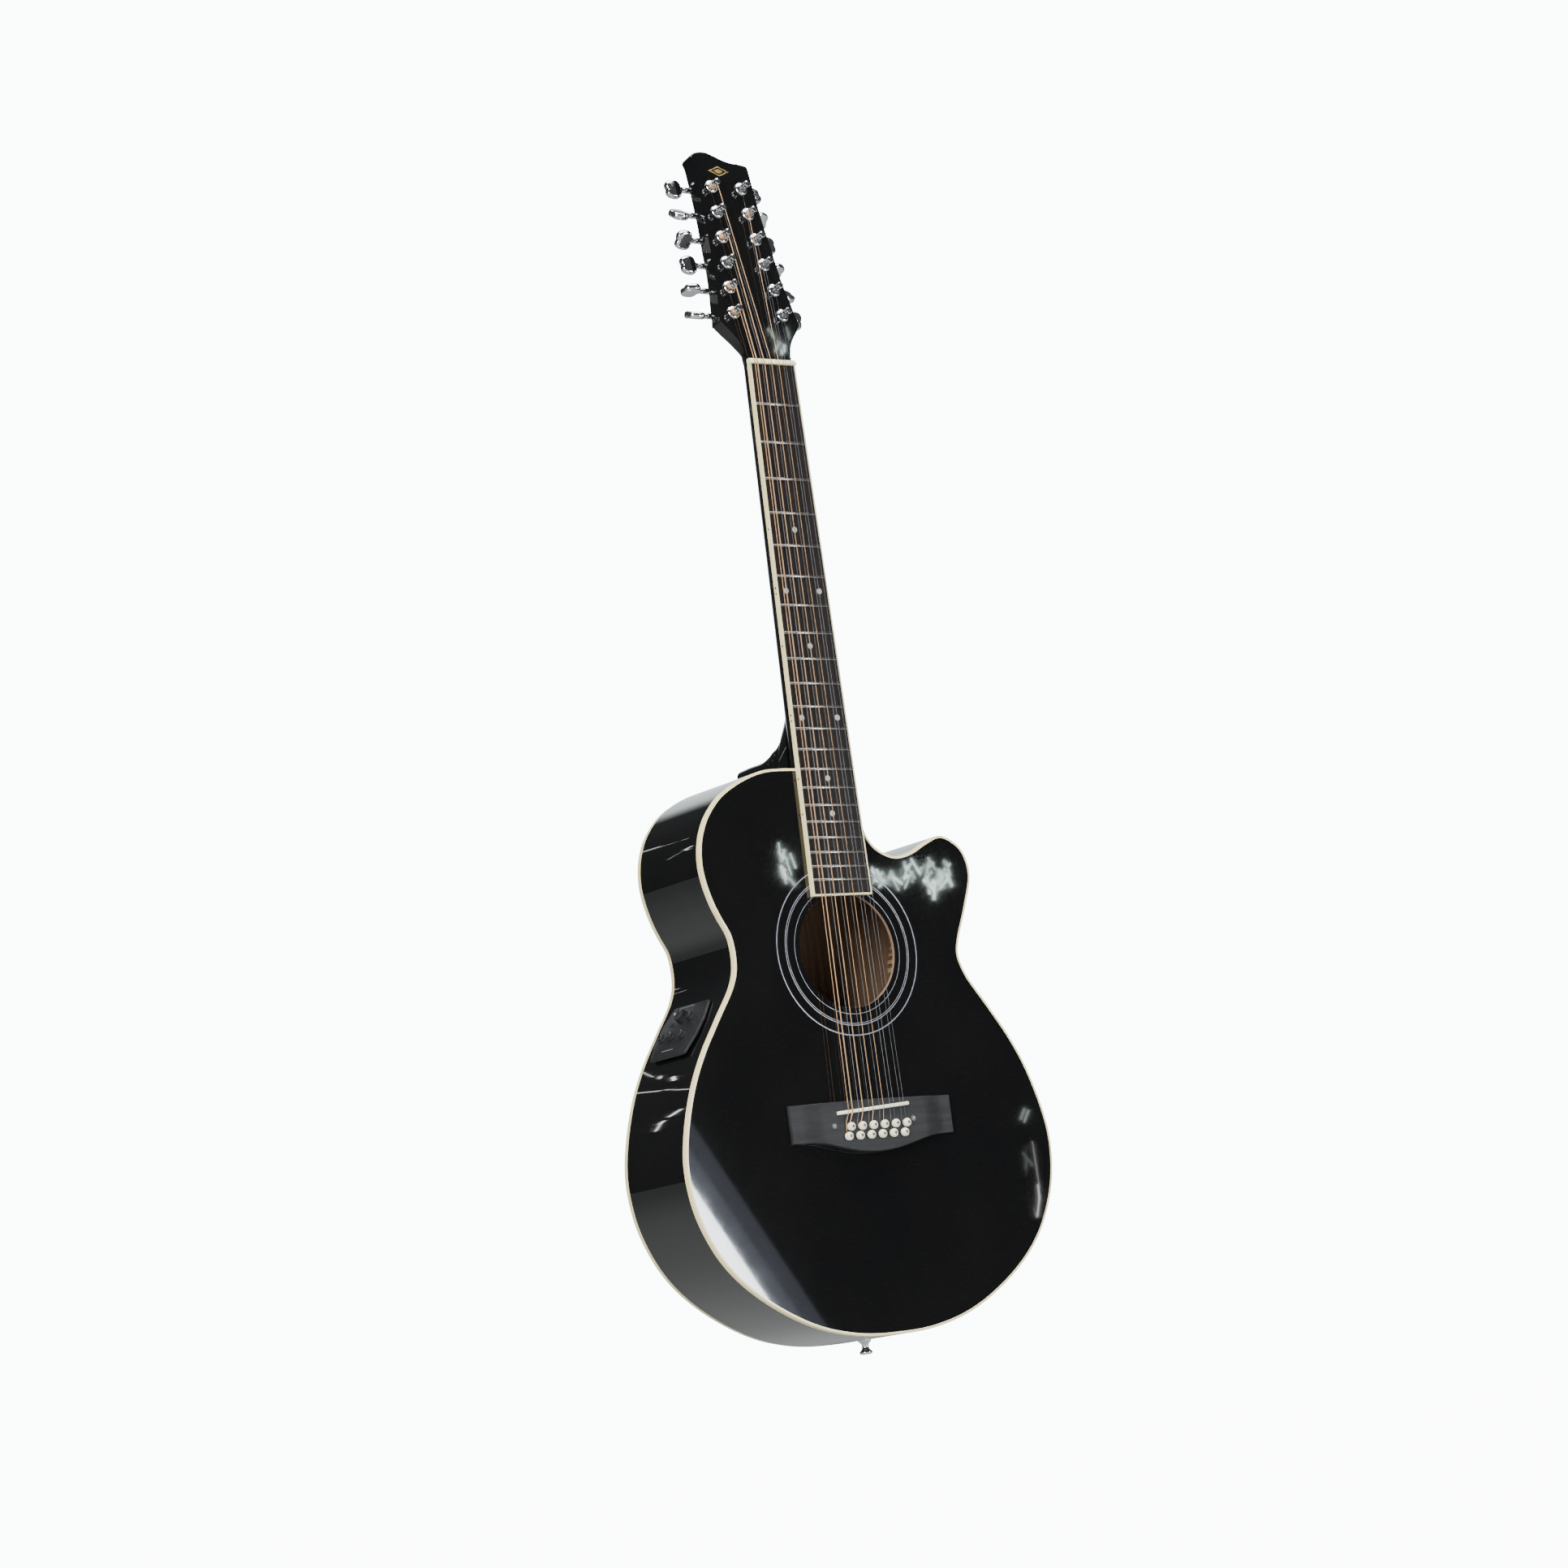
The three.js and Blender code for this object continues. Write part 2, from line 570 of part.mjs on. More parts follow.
const tunerPlate = (side) => {
  const ends = [[POSTS[0][0], 38], ...POSTS.slice(1, -1), [POSTS.at(-1)[0], 183]];
  const outer = ends.map(([x, u]) => [side * (x + PLATE_EDGE), u]);
  const inner = ends.map(([x, u]) => [side * (x - PLATE_EDGE), u]).reverse();
  const holes = POSTS.map(([x, u]) => circle(side * x, u, TUNER.bushRadius - 0.5, 8));
  let plate = solid(
    extrude(shapeOf([...outer, ...inner].map(point), holes), TUNER.plate).translate(0, 0, plateBack),
  );
  POSTS.forEach(([x, u]) => {
    const bush = turned(BUSH_PROFILE, 8).rotateX(Math.PI / 2).translate(side * x, u, 0);
    plate = plate.add(solid(bush));
    [-1, 1].forEach((end) => {
      const middle = side * x + end * (LUG.inner + LUG.thickness / 2);
      const ear = new THREE.BoxGeometry(LUG.thickness, LUG.to - LUG.from, LUG.height)
        .translate(middle, u + (LUG.from + LUG.to) / 2, plateBack - LUG.height / 2 + 0.2);
      const bore = new THREE.CylinderGeometry(LUG.bore, LUG.bore, 4, 8)
        .rotateZ(Math.PI / 2)
        .translate(middle, u + TUNER.wormOffset, -TUNER.wormDrop);
      plate = plate.add(solid(ear)).subtract(solid(bore));
    });
  });
  return geometryOf(plate);
};

const KEY_SHAFT = [
  [0, -7], [1.3, -7], [1.3, -4.6], [1.7, -4.6], [1.7, 4.6], [1.3, 4.6], [1.3, 7], [1.7, 8],
  [1.7, 17.6], [2.6, 18.2], [2.6, 21], [0, 21],
];
// Button outline: across the shaft and out along it.
const BUTTON_SIDE = [[2.6, 19.6], [6.4, 20.8], [8, 25], [7.6, 30], [5, 34], [2.4, 34.2]];
const BUTTON_THICKNESS = 5.6;

const key = (turn) => {
  const other = BUTTON_SIDE.map(([x, y]) => [-x, y]).reverse();
  const button = extrude(shapeOf([...BUTTON_SIDE, [0, 33.2], ...other].map(point)), BUTTON_THICKNESS)
    .translate(0, 0, -BUTTON_THICKNESS / 2);
  return geometryOf(union(turned(KEY_SHAFT, 8), button)).rotateY(THREE.MathUtils.degToRad(turn));
};

// How far each button is turned about its shaft, from the nut to the crest.
const BUTTON_TURNS = { bass: [60, 90, 0, -45, 45, 0], treble: [20, -35, 75, 0, 50, -15] };

[["bass", -1], ["treble", 1]].forEach(([name, side]) => {
  add(`tuner_plate_${name}`, tunerPlate(side), MATERIALS.chrome, headFrame);
  POSTS.forEach(([x, u], i) => {
    const post = piece(
      `post_${name}_${i + 1}`,
      turned(POST_PROFILE, 10).rotateX(Math.PI / 2),
      MATERIALS.chrome,
    );
    post.position.set(side * x, u, 0);
    const turn = BUTTON_TURNS[name][i];
    const spindle = piece(
      `key_${name}_${i + 1}`,
      key(turn).rotateZ((-side * Math.PI) / 2),
      MATERIALS.chrome,
    );
    spindle.position.set(side * x, u + TUNER.wormOffset, -TUNER.wormDrop);
    headFrame.add(post, spindle);
  });
});

// ---- Strings ----------------------------------------------------------------------

// A straight-sided route that turns only at its given points.
class Route extends THREE.Curve {
  constructor(stops) {
    super();
    this.stops = stops;
  }

  getPointAt(fraction) {
    return this.stops[Math.round(fraction * (this.stops.length - 1))].clone();
  }

  getTangentAt(fraction) {
    const i = Math.round(fraction * (this.stops.length - 1));
    const leg = (from) => this.stops[from + 1].clone().sub(this.stops[from]).normalize();
    const into = leg(Math.max(i - 1, 0));
    const out = leg(Math.min(i, this.stops.length - 2));
    return into.add(out).normalize();
  }
}

const STRINGS = [
  { name: "string_low_e_octave", diameter: 0.69, wound: true },
  { name: "string_low_e", diameter: 1.19, wound: true },
  { name: "string_a_octave", diameter: 0.46, wound: false },
  { name: "string_a", diameter: 0.99, wound: true },
  { name: "string_d_octave", diameter: 0.3, wound: false },
  { name: "string_d", diameter: 0.76, wound: true },
  { name: "string_g_octave", diameter: 0.25, wound: false },
  { name: "string_g", diameter: 0.58, wound: true },
  { name: "string_b_first", diameter: 0.36, wound: false },
  { name: "string_b_second", diameter: 0.36, wound: false },
  { name: "string_high_e_first", diameter: 0.25, wound: false },
  { name: "string_high_e_second", diameter: 0.25, wound: false },
];

const saddleZ = (x) => saddleMiddle[1] + (x - saddleMiddle[0]) * Math.tan(saddleAngle);

const stringRoute = (i, radius) => {
  const course = Math.floor(i / 2);
  const pair = i % 2 === 0 ? -0.5 : 0.5;
  const middle = course - (COURSES.count - 1) / 2;
  const saddleX = middle * COURSES.saddlePitch + pair * COURSES.saddlePair;
  const nutX = middle * COURSES.nutPitch + pair * COURSES.nutPair;
  const overSaddle = SADDLE.crownY - GAP - radius;
  const onBridge = BRIDGE.top - GAP - radius;
  const upperPin = PINS.upperX + PINS.pitch * course;
  const clear = PIN.radius + GAP;
  const tail = [];
  if (pair < 0) {
    const x = upperPin - clear - 0.8;
    tail.push(new THREE.Vector3(x, onBridge, PINS.lowerZ + clear));
    tail.push(new THREE.Vector3(x, onBridge - 1, PINS.upperZ + clear));
  } else {
    tail.push(new THREE.Vector3(upperPin, onBridge, PINS.upperZ + clear));
  }
  const side = i < STRINGS.length / 2 ? -1 : 1;
  const [postX, postU] = POSTS[side < 0 ? i : STRINGS.length - 1 - i];
  const tangent = postX - TUNER.windingRadius - GAP - radius;
  const atPost = new THREE.Vector3(side * tangent, postU, TUNER.windingHeight);
  return new Route([
    ...tail,
    new THREE.Vector3(saddleX, overSaddle, saddleZ(saddleX) - SADDLE.width / 2),
    new THREE.Vector3(nutX, NUT.crownY - GAP - radius, NUT_Z + 0.8),
    atPost.applyMatrix4(headFrame.matrix),
  ]);
};

STRINGS.forEach(({ name, diameter, wound }, i) => {
  const route = stringRoute(i, diameter / 2);
  const tube = new THREE.ExtrudeGeometry(shapeOf(circle(0, 0, diameter / 2, 6)), {
    steps: route.stops.length - 1,
    extrudePath: route,
    bevelEnabled: false,
  });
  add(name, tube, wound ? MATERIALS.bronze : MATERIALS.steel);
});

export default guitar;
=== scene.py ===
"""Looks of the twelve-string cutaway guitar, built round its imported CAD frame.

Metres, in the CAD frame: the origin is the strap button's end face, +Z runs up the neck,
the strings face -Y and +X is the treble side. The camera and the studio are in metres. Parts
are drawn in millimetres, and MM turns them into metres.
"""

import random
from math import ceil, copysign, cos, pi, radians, sin, sqrt, tan

import bmesh
import bpy
from mathutils import Matrix, Vector
from mathutils.geometry import tessellate_polygon


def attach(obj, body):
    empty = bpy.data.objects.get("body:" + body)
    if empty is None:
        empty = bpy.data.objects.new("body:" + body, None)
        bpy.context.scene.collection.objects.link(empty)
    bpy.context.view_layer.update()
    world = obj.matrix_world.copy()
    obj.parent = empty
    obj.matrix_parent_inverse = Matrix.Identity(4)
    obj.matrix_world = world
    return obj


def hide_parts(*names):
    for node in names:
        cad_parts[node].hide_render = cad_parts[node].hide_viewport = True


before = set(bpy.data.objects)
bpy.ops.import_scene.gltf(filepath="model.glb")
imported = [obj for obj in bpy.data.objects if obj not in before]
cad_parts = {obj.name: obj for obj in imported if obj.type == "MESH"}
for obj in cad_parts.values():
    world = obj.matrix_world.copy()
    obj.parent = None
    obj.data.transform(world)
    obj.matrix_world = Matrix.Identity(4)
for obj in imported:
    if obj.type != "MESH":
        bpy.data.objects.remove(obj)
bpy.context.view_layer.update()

MM = 0.001
BODY = "guitar"


def link(thing):
    bpy.context.scene.collection.objects.link(thing)


def set_inputs(tree, node, **inputs):
    """Fills a node's inputs: an output is linked to its input and a value is put in it."""
    for name, value in inputs.items():
        socket = node.inputs[name.replace("_", " ")]
        if isinstance(value, bpy.types.NodeSocket):
            tree.links.new(value, socket)
        else:
            socket.default_value = value
    return node


def add_node(tree, kind, **inputs):
    return set_inputs(tree, tree.nodes.new(kind), **inputs)


# ---- Camera ----

CAMERA_PLACE = Vector((-2.1232, -2.8750, -0.0675))
CAMERA_RIGHT = Vector((0.81059, -0.57122, -0.12902))
CAMERA_UP = Vector((0.01365, -0.20183, 0.97933))
CAMERA_BACK = Vector((-0.58547, -0.79560, -0.15580))
CAMERA_LENS = 95.6  # millimetres on a 36 mm sensor


def add_camera():
    data = bpy.data.cameras.new("camera")
    data.lens = CAMERA_LENS
    data.sensor_width = 36
    camera = bpy.data.objects.new("camera", data)
    turn = Matrix((CAMERA_RIGHT, CAMERA_UP, CAMERA_BACK)).transposed()
    camera.matrix_world = Matrix.Translation(CAMERA_PLACE) @ turn.to_4x4()
    link(camera)
    bpy.context.scene.camera = camera


add_camera()

# ---- Studio ----

FLOOR_Z = -0.3  # the guitar hangs just above it
FLOOR_REACH = 40.0
FLOOR_COLOR = (0.19, 0.195, 0.19, 1)
FLOOR_TINT = (0.93, 1, 0.97, 1)
FLOOR_GLOW = 0.23  # as the guitar sees it
BACKDROP_GLOW = 12.0  # as the camera sees the backdrop and the floor
BACKDROP_TINT = (0.90, 0.98, 1, 1)
AHEAD = (0.58, 0.80, 0.15)  # from the camera to the guitar, and on to the white backdrop


def add_world():
    """A white backdrop ahead of the camera in a dim room; camera rays see it all round."""
    world = bpy.data.worlds.new("studio")
    world.use_nodes = True
    bpy.context.scene.world = world
    tree = world.node_tree
    facing = tree.nodes.new("ShaderNodeVectorMath")
    facing.operation = "DOT_PRODUCT"
    facing.inputs[1].default_value = AHEAD
    tree.links.new(add_node(tree, "ShaderNodeTexCoord").outputs["Generated"], facing.inputs[0])
    glow = add_node(tree, "ShaderNodeMapRange", Value=facing.outputs["Value"], From_Min=0.80,
                    From_Max=0.90, To_Min=0.07, To_Max=1.6)
    is_camera = add_node(tree, "ShaderNodeLightPath").outputs["Is Camera Ray"]
    strength = add_node(tree, "ShaderNodeMix", Factor=is_camera, A=glow.outputs["Result"],
                        B=BACKDROP_GLOW)
    set_inputs(tree, tree.nodes["Background"], Strength=strength.outputs["Result"],
               Color=BACKDROP_TINT)


def add_softbox(name, place, along, facing, size, power, color=(1, 1, 1)):
    """An area light whose long side runs along one direction and which shines in another."""
    data = bpy.data.lights.new(name, "AREA")
    data.shape = "RECTANGLE"
    data.size, data.size_y = size
    data.energy = power
    data.color = color
    light = bpy.data.objects.new(name, data)
    back = -Vector(facing).normalized()
    up = Vector(along)
    up = (up - back * up.dot(back)).normalized()
    turn = Matrix((up.cross(back), up, back)).transposed()
    light.matrix_world = Matrix.Translation(place) @ turn.to_4x4()
    light.visible_camera = False
    link(light)


def add_floor():
    mesh = bpy.data.meshes.new("floor")
    corners = [(x * FLOOR_REACH, y * FLOOR_REACH, FLOOR_Z)
               for x, y in ((-1, -1), (1, -1), (1, 1), (-1, 1))]
    mesh.from_pydata(corners, [], [(0, 1, 2, 3)])
    floor = bpy.data.objects.new("floor", mesh)
    paper = bpy.data.materials.new("floor_paper")
    paper.use_nodes = True
    tree = paper.node_tree
    is_camera = add_node(tree, "ShaderNodeLightPath").outputs["Is Camera Ray"]
    glow = add_node(tree, "ShaderNodeMapRange", Value=is_camera, To_Min=FLOOR_GLOW,
                    To_Max=BACKDROP_GLOW)
    set_inputs(tree, tree.nodes["Principled BSDF"], Base_Color=FLOOR_COLOR, Roughness=0.9,
               Emission_Color=FLOOR_TINT, Emission_Strength=glow.outputs["Result"])
    mesh.materials.append(paper)
    link(floor)


MIRRORED_Y = -3.0  # where the lights stand that the soundboard mirrors to the camera
TO_GUITAR = (0, 1, 0)

# Name, place, direction of the long side, facing, (width, length) and watts. The last three are
# the crooked glint along the right edge of the body.
SOFTBOXES = [
    ("overhead", (0.2, -0.8, 3.4), (1, 0, 0), (-0.1, 0.15, -1), (2.4, 3.0), 240),
    ("camera_left", (-3.4, -2.2, 1.2), (0, 0, 1), (1, 0.65, -0.2), (1.2, 2.0), 275),
    ("edge_thin", (2.570, MIRRORED_Y, 0.369), (-0.02, 0, 1), TO_GUITAR, (0.0025, 0.078), 0.004),
    ("edge_knee", (2.568, MIRRORED_Y, 0.318), (0.04, 0, 1), TO_GUITAR, (0.003, 0.026), 0.005),
    ("edge_foot", (2.562, MIRRORED_Y, 0.290), (0.33, 0, 1), TO_GUITAR, (0.003, 0.036), 0.007),
]

# Crumpled foil, mirrored beside the fretboard, on the horn, above the nut and on the right edge
# of the body: middle (x, z), half width and half height of each cloud of small lights, how many
# there are, and the watts of each square metre of them.
FOIL_CLOUDS = [
    ((2.112, 0.918), (0.014, 0.030), 14, 130),
    ((2.325, 0.888), (0.040, 0.012), 14, 130),
    ((2.385, 0.900), (0.030, 0.016), 14, 130),
    ((2.440, 0.893), (0.026, 0.032), 28, 130),
    ((2.755, 3.283), (0.030, 0.028), 10, 70),
    ((2.559, 0.459), (0.006, 0.006), 4, 22),
    ((2.549, 0.375), (0.005, 0.022), 7, 6),
]
FOIL_TINT = (0.82, 1, 0.94)


def add_foil():
    chance = random.Random(12)
    for cloud, ((x, z), (wide, high), count, glow) in enumerate(FOIL_CLOUDS):
        for i in range(count):
            place = (x + wide * chance.uniform(-1, 1), MIRRORED_Y, z + high * chance.uniform(-1, 1))
            lean = chance.uniform(-1, 1)
            size = (chance.uniform(0.002, 0.007), chance.uniform(0.012, 0.036))
            power = glow * size[0] * size[1] * chance.uniform(0.1, 1) ** 1.5
            along = (sin(lean), 0, cos(lean))
            add_softbox(f"foil_{cloud}_{i}", place, along, TO_GUITAR, size, power, FOIL_TINT)


# The window that the lower left of the soundboard mirrors: a bright part and two dim strips
# beyond it, as the middle (x, z) of each one's slanted edge, its width, watts and colour.
WINDOW_EDGE = Vector((0.525, 0, -0.851))
WINDOW_LENGTH = 0.9
WINDOW_PARTS = [
    ("window_bright", (1.877, 0.305), 0.55, 85, (0.86, 0.93, 1)),
    ("window_middle", (1.915, 0.312), 0.03, 0.13, (0.75, 0.82, 1)),
    ("window_dim", (1.948, 0.318), 0.03, 0.07, (0.75, 0.82, 1)),
]


def add_window():
    outward = Vector((-WINDOW_EDGE.z, 0, WINDOW_EDGE.x))
    for name, (x, z), width, power, color in WINDOW_PARTS:
        place = Vector((x, MIRRORED_Y, z)) - outward * width / 2
        size = (width, WINDOW_LENGTH)
        add_softbox(name, place, WINDOW_EDGE, TO_GUITAR, size, power, color)


# Creases in the foil behind the guitar, which its polished wall mirrors as thin streaks: middle,
# direction and length.
CREASES = [
    ((-0.91, 2.05, 1.68), (-0.76, -0.62, -0.2), 0.16),
    ((-0.76, 2.07, 1.53), (-0.9, -0.2, -0.4), 0.22),
    ((-0.95, 2.04, 1.42), (-0.85, -0.5, -0.3), 0.18),
    ((-1.27, 2.00, 1.35), (0.6, -0.5, 0.5), 0.25),
    ((-1.25, 2.10, 1.19), (0.6, -0.6, 0.5), 0.25),
]
CREASE_BITS = 3
CREASE_GLOW = 45  # watts of each square metre
TO_WALL = (0.33, -0.82, -0.47)


def add_creases():
    chance = random.Random(5)
    for crease, (middle, along, length) in enumerate(CREASES):
        for i in range(CREASE_BITS):
            place = Vector(middle) + Vector(along).normalized() * length * (i - 1) / CREASE_BITS
            place.z += chance.uniform(-0.015, 0.015)
            bend = Vector((0, chance.uniform(-0.15, 0.15), chance.uniform(-0.3, 0.3)))
            size = (chance.uniform(0.002, 0.006), length * chance.uniform(0.1, 0.45))
            power = CREASE_GLOW * size[0] * size[1] * chance.uniform(0.3, 1)
            add_softbox(f"crease_{crease}_{i}", place, Vector(along) + bend, TO_WALL, size, power)


add_world()
add_floor()
add_window()
add_foil()
add_creases()
for softbox in SOFTBOXES:
    add_softbox(*softbox)

# ---- Sizes shared with the CAD ----

TOP = -49.0
BACK = 49.0
BACK_ARCH_RADIUS = 4572.0
PLATE = 3.0
BINDING_WIDTH = 2.0
BINDING_HEIGHT = 5.0
NECK_JOINT = 499.5
GAP = 0.3
SOUND_HOLE_Z = 340.5
SOUND_HOLE_RADIUS = 50.0

NUT_Z = 858.0
SCALE_LENGTH = 650.0
FRETS = 21
BOARD_TOP = -53.74
BOARD_END = 389.0
BOARD_HALF = (22.8, 29.75)  # half width at the nut and at the end
BOARD_BINDING = 1.5

CUTAWAY = [
    (31.5, 499.5), (31.5, 470), (33, 452), (37.5, 438), (46, 428), (63.5, 420.8), (80, 423.3),
    (99.5, 432.5), (114.3, 437.8), (124, 436), (136.8, 427), (142.6, 416), (143.8, 400.6),
    (133.3, 371.4), (121.5, 344),
]
LOWER_BOUT = [
    (119.2, 332), (124.3, 316), (143.7, 287.4), (162, 260), (176.4, 231.8), (188.4, 195),
    (192.7, 168), (190.6, 140), (184.1, 117), (169.4, 89), (149.4, 66.4), (118, 43.3),
    (80, 24.6), (40, 14.8),
]
TAIL = [(0, 12.5)]
UPPER_BOUT = [
    (-120.5, 356), (-128.3, 372), (-133.9, 384.5), (-139.6, 405), (-140.9, 420),
    (-138.7, 436.5), (-134.1, 449.4), (-127.9, 460.2), (-114.5, 475), (-100.2, 484.5),
    (-81.7, 493), (-63.6, 498.2), (-46, 499.5), (-31.5, 499.5),
]

HEAD_TILT = radians(10.28)
HEAD_THICKNESS = 15.0
HEAD_SIDE = [
    (24, 2.2), (24.4, 7), (26.3, 14), (30.3, 22), (35.7, 29), (40, 34.5), (42.4, 38.5),
    (41.2, 45), (39.2, 59), (36.5, 74), (34.5, 92), (33, 115), (31, 140), (30, 167), (29.7, 190.5),
]
HEAD_CREST = [
    (28.6, 195.2), (21.6, 197), (11.8, 197.9), (3.3, 200.1), (-4.6, 203.5), (-14.4, 206.8),
    (-25.6, 205.2), (-30.8, 200.8), (-30, 195.5),
]
POSTS = [(26.5, 46.7), (24.1, 71.4), (20, 96.2), (18.3, 121.3), (16.7, 146.4), (16, 171.5)]
WORM_DROP = 20.0
WORM_OFFSET = 6.0

SADDLE_ENDS = ((-39.9, 201.0), (36.6, 205.5))
PIN_ROWS = ((-27.8, 189.1), (-31.3, 181.1))  # first pin of the upper and the lower row
PIN_PITCH = 11.8
SADDLE_CROWN = -60.1
NUT_CROWN = -55.5


def mirrored(points):
    """The same points on the other side of x = 0, in the opposite order."""
    return [(-x, y) for x, y in reversed(points)]


def frame_of(across, along, place):
    """A matrix whose local x and y lie along two directions, its origin in millimetres."""
    across, along = Vector(across).normalized(), Vector(along).normalized()
    turn = Matrix((across, along, across.cross(along))).transposed()
    return Matrix.Translation(Vector(place) * MM) @ turn.to_4x4()


def spot_on(base, x, y, z=0.0):
    """A frame moved along its own axes, in millimetres."""
    return base @ Matrix.Translation(Vector((x, y, z)) * MM)


HEAD = frame_of((1, 0, 0), (0, sin(HEAD_TILT), cos(HEAD_TILT)), (0, -50.8, 861))
PANEL = frame_of((0.5926, 0, 0.8055), (0, 1, 0), (-146.3, 1.5, 284.75))
JACK = frame_of((-8.6, 0, -51), (0, 1, 0), (190.6, 0, 140))
FACING = Matrix.Rotation(pi / 2, 4, "X")  # local z towards the player's side, -Y

# ---- Mesh helpers ----
# A part is (points, faces): points are Vectors in millimetres, faces lists of indices.


def vectors(points):
    return [Vector(p) for p in points]


def joined(*parts):
    points, faces = [], []
    for more_points, more_faces in parts:
        start = len(points)
        points += more_points
        faces += [[start + i for i in face] for face in more_faces]
    return points, faces


def placed(part, matrix):
    """The part moved by a matrix whose translation is in metres."""
    turn = matrix.to_3x3()
    shift = matrix.translation / MM
    return [turn @ p + shift for p in part[0]], part[1]


def moved(part, x=0.0, y=0.0, z=0.0):
    return [p + Vector((x, y, z)) for p in part[0]], part[1]


def loft(rings, closed=False):
    """Skins rings of equal length. Open lofts get flat ends, closed ones join up."""
    size = len(rings[0])
    points = [Vector(p) for row in rings for p in row]
    faces = []
    for r in range(len(rings) if closed else len(rings) - 1):
        a, b = r * size, ((r + 1) % len(rings)) * size
        for i in range(size):
            j = (i + 1) % size
            faces.append([a + i, a + j, b + j, b + i])
    if not closed:
        faces.append(list(range(size))[::-1])
        faces.append([len(points) - size + i for i in range(size)])
    return points, faces


def polar_ring(steps, height, reach):
    """Points round local z; reach gives the radius at each angle."""
    angles = [2 * pi * i / steps for i in range(steps)]
    return [(reach(a) * cos(a), reach(a) * sin(a), height) for a in angles]


def turned(profile, sides=48):
    """Turns (radius, height) points round local z. A closed profile makes a ring."""
    is_ring = profile[0] == profile[-1]
    stations = profile[:-1] if is_ring else profile
    points, faces, rows = [], [], []
    for radius, height in stations:
        if radius == 0:
            rows.append([len(points)])
            points.append(Vector((0, 0, height)))
            continue
        rows.append(list(range(len(points), len(points) + sides)))
        points += vectors(polar_ring(sides, height, lambda angle: radius))
    pairs = list(zip(rows, rows[1:]))
    if is_ring:
        pairs.append((rows[-1], rows[0]))
    for low, high in pairs:
        for i in range(sides):
            j = (i + 1) % sides
            face = [low[i % len(low)], low[j % len(low)], high[j % len(high)], high[i % len(high)]]
            faces.append(list(dict.fromkeys(face)))
    return points, faces


def eased(route, reach, steps=6, even=False):
    """The route with each inner corner rounded off. even takes as much off both its legs."""
    route = vectors(route)
    result = route[:1]
    for before, here, after in zip(route, route[1:], route[2:]):
        legs = (before - here, after - here)
        cuts = [min(reach, leg.length * 0.45) for leg in legs]
        if even:
            cuts = [min(cuts)] * 2
        start, end = (here + leg.normalized() * cut for leg, cut in zip(legs, cuts))
        for step in range(steps + 1):
            t = step / steps
            result.append(start.lerp(here, t).lerp(here.lerp(end, t), t))
    result.append(route[-1])
    return result


def disc(radius, low, high, ease=0.3, sides=48):
    profile = [(0, low), (radius, low), (radius, high), (0, high)]
    return turned(eased(profile, ease, 4, even=True), sides)


def ring(inner, outer, low, high, ease=0.15, sides=96):
    middle = (inner, (low + high) / 2)
    profile = [middle, (inner, low), (outer, low), (outer, high), (inner, high), middle]
    return turned(eased(profile, ease, 2, even=True), sides)


def catmull(knots, longest):
    """Points along a centripetal spline through the knots, no further apart than longest."""
    knots = vectors(knots)
    ends = [2 * knots[0] - knots[1], *knots, 2 * knots[-1] - knots[-2]]
    points = []
    for p0, p1, p2, p3 in zip(ends, ends[1:], ends[2:], ends[3:]):
        d0, d1, d2 = (sqrt((b - a).length) for a, b in ((p0, p1), (p1, p2), (p2, p3)))
        t1 = ((p1 - p0) / d0 - (p2 - p0) / (d0 + d1) + (p2 - p1) / d1) * d1
        t2 = ((p2 - p1) / d1 - (p3 - p1) / (d1 + d2) + (p3 - p2) / d2) * d1
        steps = max(1, ceil((p2 - p1).length / longest))
        for step in range(steps):
            t = step / steps
            cubic = (2 * p1 - 2 * p2 + t1 + t2) * t + (-3 * p1 + 3 * p2 - 2 * t1 - t2)
            points.append((cubic * t + t1) * t + p1)
    points.append(knots[-1])
    return points


def inset(outline, distance):
    """A closed outline, drawn anticlockwise, moved inwards with mitred corners."""
    result = []
    for i, here in enumerate(outline):
        into = (here - outline[i - 1]).normalized()
        out = (outline[(i + 1) % len(outline)] - here).normalized()
        inward = Vector((-into.y - out.y, into.x + out.x)).normalized()
        reach = distance / max(0.3, inward.x * -out.y + inward.y * out.x)
        result.append(here + inward * reach)
    return result


def prism(outline, holes, low, high):
    """A slab between local z low and high, with its outline and holes in local x and y."""
    loops = [outline, *holes]
    flat = [p for loop in loops for p in loop]
    count = len(flat)
    triangles = tessellate_polygon([[Vector((p.x, p.y, 0)) for p in loop] for loop in loops])
    points = [Vector((p.x, p.y, low)) for p in flat] + [Vector((p.x, p.y, high)) for p in flat]
    faces = [list(t) for t in triangles] + [[i + count for i in t] for t in triangles]
    start = 0
    for loop in loops:
        for i in range(len(loop)):
            a, b = start + i, start + (i + 1) % len(loop)
            faces.append([a, b, b + count, a + count])
        start += len(loop)
    return points, faces


def stacked(outline, section):
    """A slab whose outline at each height is drawn in by the distance given with it."""
    return loft([[(p.x, p.y, height) for p in inset(outline, d)] for d, height in section])


